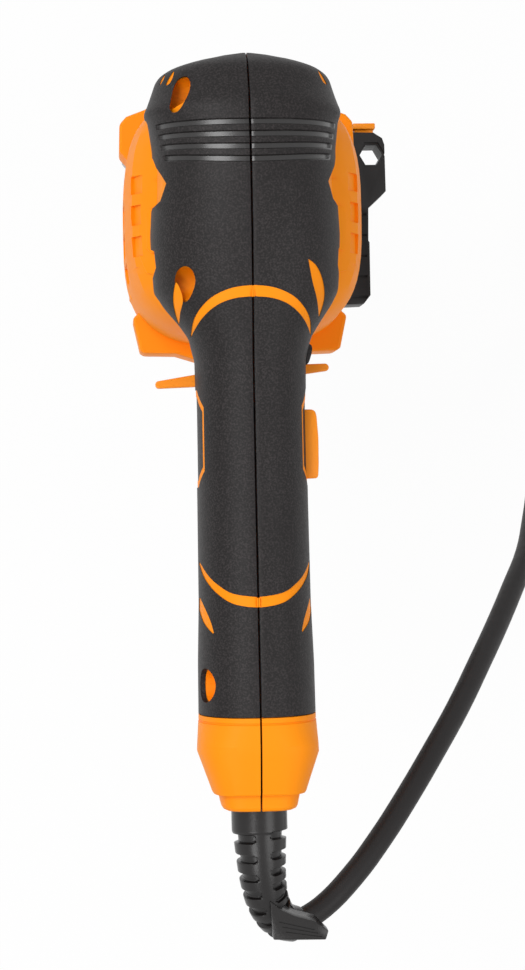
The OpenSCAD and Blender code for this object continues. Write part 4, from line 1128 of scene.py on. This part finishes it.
STEM_Y, FOOT_Z, DIAL_Y, DIAL_Z, DIAL_R = -106, 137.9, -79, 121, 5.2
finger = soft_line([
    (-120.6, -71.9), (-118.2, -73.6), (-117.3, -77), (-118.4, -83), (-119.6, -88),
    (-118.9, -93.4), (-117.6, -97.2), (-118.6, -99.6), (-121, -100.4),
], 5, False)
trigger = prism([(-136, -71.6)] + [tuple(p) for p in finger] + [(-136, -100.4)], -7.8, 7.8, axis="X")
round_edges(trigger, 1.3, 50, 4)
stem = joined(
    block((-6.8, STEM_Y - 4, FOOT_Z - 2.4), (6.8, -93.4, FOOT_Z)),
    drum(1.5, FOOT_Z - 1, FOOT_Z + 11, (0, STEM_Y, 0), sides=24),
)
trigger = carved(trigger, stem, "UNION")
trigger = carved(trigger, drum(DIAL_R + 0.45, -1.8, 1.8, (0, DIAL_Y, DIAL_Z), axis="X"))
piece_of("trigger_piece", trigger, control, "trigger", ("trigger",))
trigger_coil = finished("trigger_spring", steel, 0)
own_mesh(trigger_coil)
finished("speed_dial", nylon, 0.2, 30)
button = prism([
    (13.4, -80.2), (18.9, -80.3), (19.8, -80.9), (20.2, -82.4), (20.65, -89), (20.6, -97), (20.4, -101),
    (19.9, -101.7), (13.4, -101.9),
], REAR_Z - 35, REAR_Z - 26)
round_edges(button, 0.55, 30)
piece_of("lock_button_cap", button, control, "lock_button", ("lock_button",))


def lower_lever(shape):
    """Sets the bar's tips as they stand: the left one nearer, the right one lower."""
    for vert in shape.verts:
        x, y, z = vert.co
        if y > BAR_Y - 12:
            vert.co.y -= 0.7 + max(x, 0) * 0.045 - max(-x - 14, 0) * 0.03
            if x < -14:
                vert.co.x = -14 + (x + 14) * 0.86


finished("direction_lever", control, 0.55, 30, reshape=lower_lever)


# ---- gear housing and mode selector ----
# Die-cast alloy housing with the 43 mm collar at its front, fixed by four screws. The black
# selector knob slides across its top.
cast = Finish("cast_alloy")
cast_pits = cast.noise(900, 4)
cast.shade(
    Base_Color=cast.mixed(cast_pits, (0.36, 0.365, 0.37, 1), (0.52, 0.525, 0.53, 1)),
    Metallic=0.85,
    Roughness=0.46 + cast.noise(220, 3) * 0.16,
    Normal=cast.raised(cast_pits, 0.08 * MM, 0.6),
)


def behind_flange(shape):
    """Draws the flange in so that it stands a little inside the nylon one."""
    for vert in shape.verts:
        x, y, z = vert.co
        if z > 52 and (abs(x) > 30 or y < -46 or y > 17):
            vert.co.x *= 0.97
            vert.co.y = MOTOR_Y + (y - MOTOR_Y) * 0.965


finished("gear_housing", cast, 0.5, 30, reshape=behind_flange)
finished("gear_housing_screws", steel, 0.2, 40)
finished("mode_selector", nylon, 0.4, 30)
coated(cast, "bearing_plate", "cord_clamp")


# ---- chuck ----
# Keyed chuck of hardened steel: a turned body, a toothed black sleeve and three ground jaws,
# screwed to the end of the spindle.
def stretched(finish, x, y, z):
    return finish.node(
        "ShaderNodeMapping", {"vector_type": "POINT"},
        {"Vector": finish.object_place(), "Scale": (x, y, z)},
    )


# Turned steel: fine rings round the spindle's axis, a little darker where it was hardened
turned = Finish("turned_steel")
turned_rings = turned.noise(1, 3, stretched(turned, 120, 120, 5200))
turned.shade(
    Base_Color=turned.mixed(turned.noise(90, 3), (0.36, 0.36, 0.37, 1), (0.52, 0.52, 0.53, 1)),
    Metallic=1.0,
    Roughness=0.26 + turned_rings * 0.14,
    Normal=turned.raised(turned_rings, 0.012 * MM, 0.5),
)

blackened = Finish("blackened_steel")
blackened.shade(
    Base_Color=blackened.mixed(blackened.noise(140, 3), (0.035, 0.035, 0.038, 1), (0.065, 0.064, 0.066, 1)),
    Metallic=0.9,
    Roughness=0.33 + blackened.noise(900, 2) * 0.16,
    Normal=blackened.raised(blackened.noise(1600, 2), 0.015 * MM, 0.5),
)

finished("chuck_body", turned, 0.4, 30)
finished("chuck_sleeve", blackened, 0.3, 30)
for number in (1, 2, 3):
    finished(f"chuck_jaw_{number}", steel, 0.2, 30)
finished("chuck_screw", blackened, 0.2, 30)
finished("spindle", turned, 0.3, 30)


# ---- side handle ----
# Black nylon bracket on a steel band, drawn tight by a bolt in the ribbed rubber grip. An
# orange button lets the depth rod slide in the six-sided hole.
finished("handle_bracket", nylon, 0.6, 30)
finished("clamp_band", steel, 0.3, 30)
finished("clamp_bolt", steel, 0.3, 30)
finished("side_grip", rubber, 0.6, 30)
finished("depth_stop_button", control, 0.35, 30)


# ---- motor ----
# Universal motor: a stack of electrical sheet with copper windings, an armature on ball
# bearings, a commutator with two carbon brushes in brass holders, and a nylon fan.
brass = Finish("drawn_brass")
brass.shade(
    Base_Color=brass.mixed(brass.noise(200, 2), (0.60, 0.41, 0.15, 1), (0.72, 0.52, 0.22, 1)),
    Metallic=1.0,
    Roughness=0.24 + brass.noise(1200, 2) * 0.14,
    Normal=brass.raised(brass.noise(1900, 2), 0.01 * MM, 0.4),
)
lamination = Finish("electrical_sheet")
sheet_lines = lamination.noise(1, 2, stretched(lamination, 40, 40, 2600))
lamination.shade(
    Base_Color=lamination.mixed(sheet_lines, (0.17, 0.17, 0.18, 1), (0.33, 0.33, 0.34, 1)),
    Metallic=0.9,
    Roughness=0.4 + sheet_lines * 0.2,
    Normal=lamination.raised(sheet_lines, 0.05 * MM, 0.7),
)
copper = Finish("enamelled_copper")
copper_strands = copper.noise(1, 2, stretched(copper, 900, 900, 160))
copper.shade(
    Base_Color=copper.mixed(copper_strands, (0.42, 0.12, 0.035, 1), (0.68, 0.26, 0.09, 1)),
    Metallic=0.9,
    Roughness=0.28 + copper_strands * 0.2,
    Normal=copper.raised(copper_strands, 0.12 * MM, 0.8),
)
carbon = Finish("pressed_carbon")
carbon.shade(
    Base_Color=carbon.mixed(carbon.noise(1200, 3), (0.03, 0.03, 0.033, 1), (0.06, 0.06, 0.064, 1)),
    Metallic=0.2,
    Roughness=0.5 + carbon.noise(600, 2) * 0.2,
)
dark_nylon = Finish("dark_grey_nylon")
dark_nylon.shade(
    Base_Color=dark_nylon.mixed(dark_nylon.noise(60, 2), (0.035, 0.035, 0.038, 1), (0.05, 0.05, 0.054, 1)),
    Roughness=0.4 + dark_nylon.noise(900, 2) * 0.15,
    Normal=dark_nylon.raised(dark_nylon.noise(1500, 2), 0.04 * MM, 0.5),
)
coated(lamination, "stator_core", "armature_core")
coated(copper, "stator_windings", "armature_windings", "commutator", "lead_wires")
coated(carbon, "carbon_brushes")
coated(brass, "brush_holders", "spindle_rear_bush")
coated(nylon, "fan")
coated(dark_nylon, "switch_body")
coated(rubber, "rear_bearing_sleeve")
coated(sheath, "inner_lead")
coated(steel, "front_motor_bearing", "rear_motor_bearing", "brush_springs", "spindle_bearing",
       "release_spring", "cord_clamp_screws")
coated(turned, "armature_shaft", "spindle_gear", "fixed_ratchet", "rotating_ratchet")


# ---- plug and tie ----
# Two-pin plug moulded on the end of the cord, with pins of brass. A nylon tie is closed round
# the coil and holds its turns together for storage.
plug_body = finished("plug", nylon, 1.0, 40)
plug_prongs = finished("plug_pins", brass, 0.4, 40)
coil_tie = finished("cord_tie", nylon, 0.2, 40)
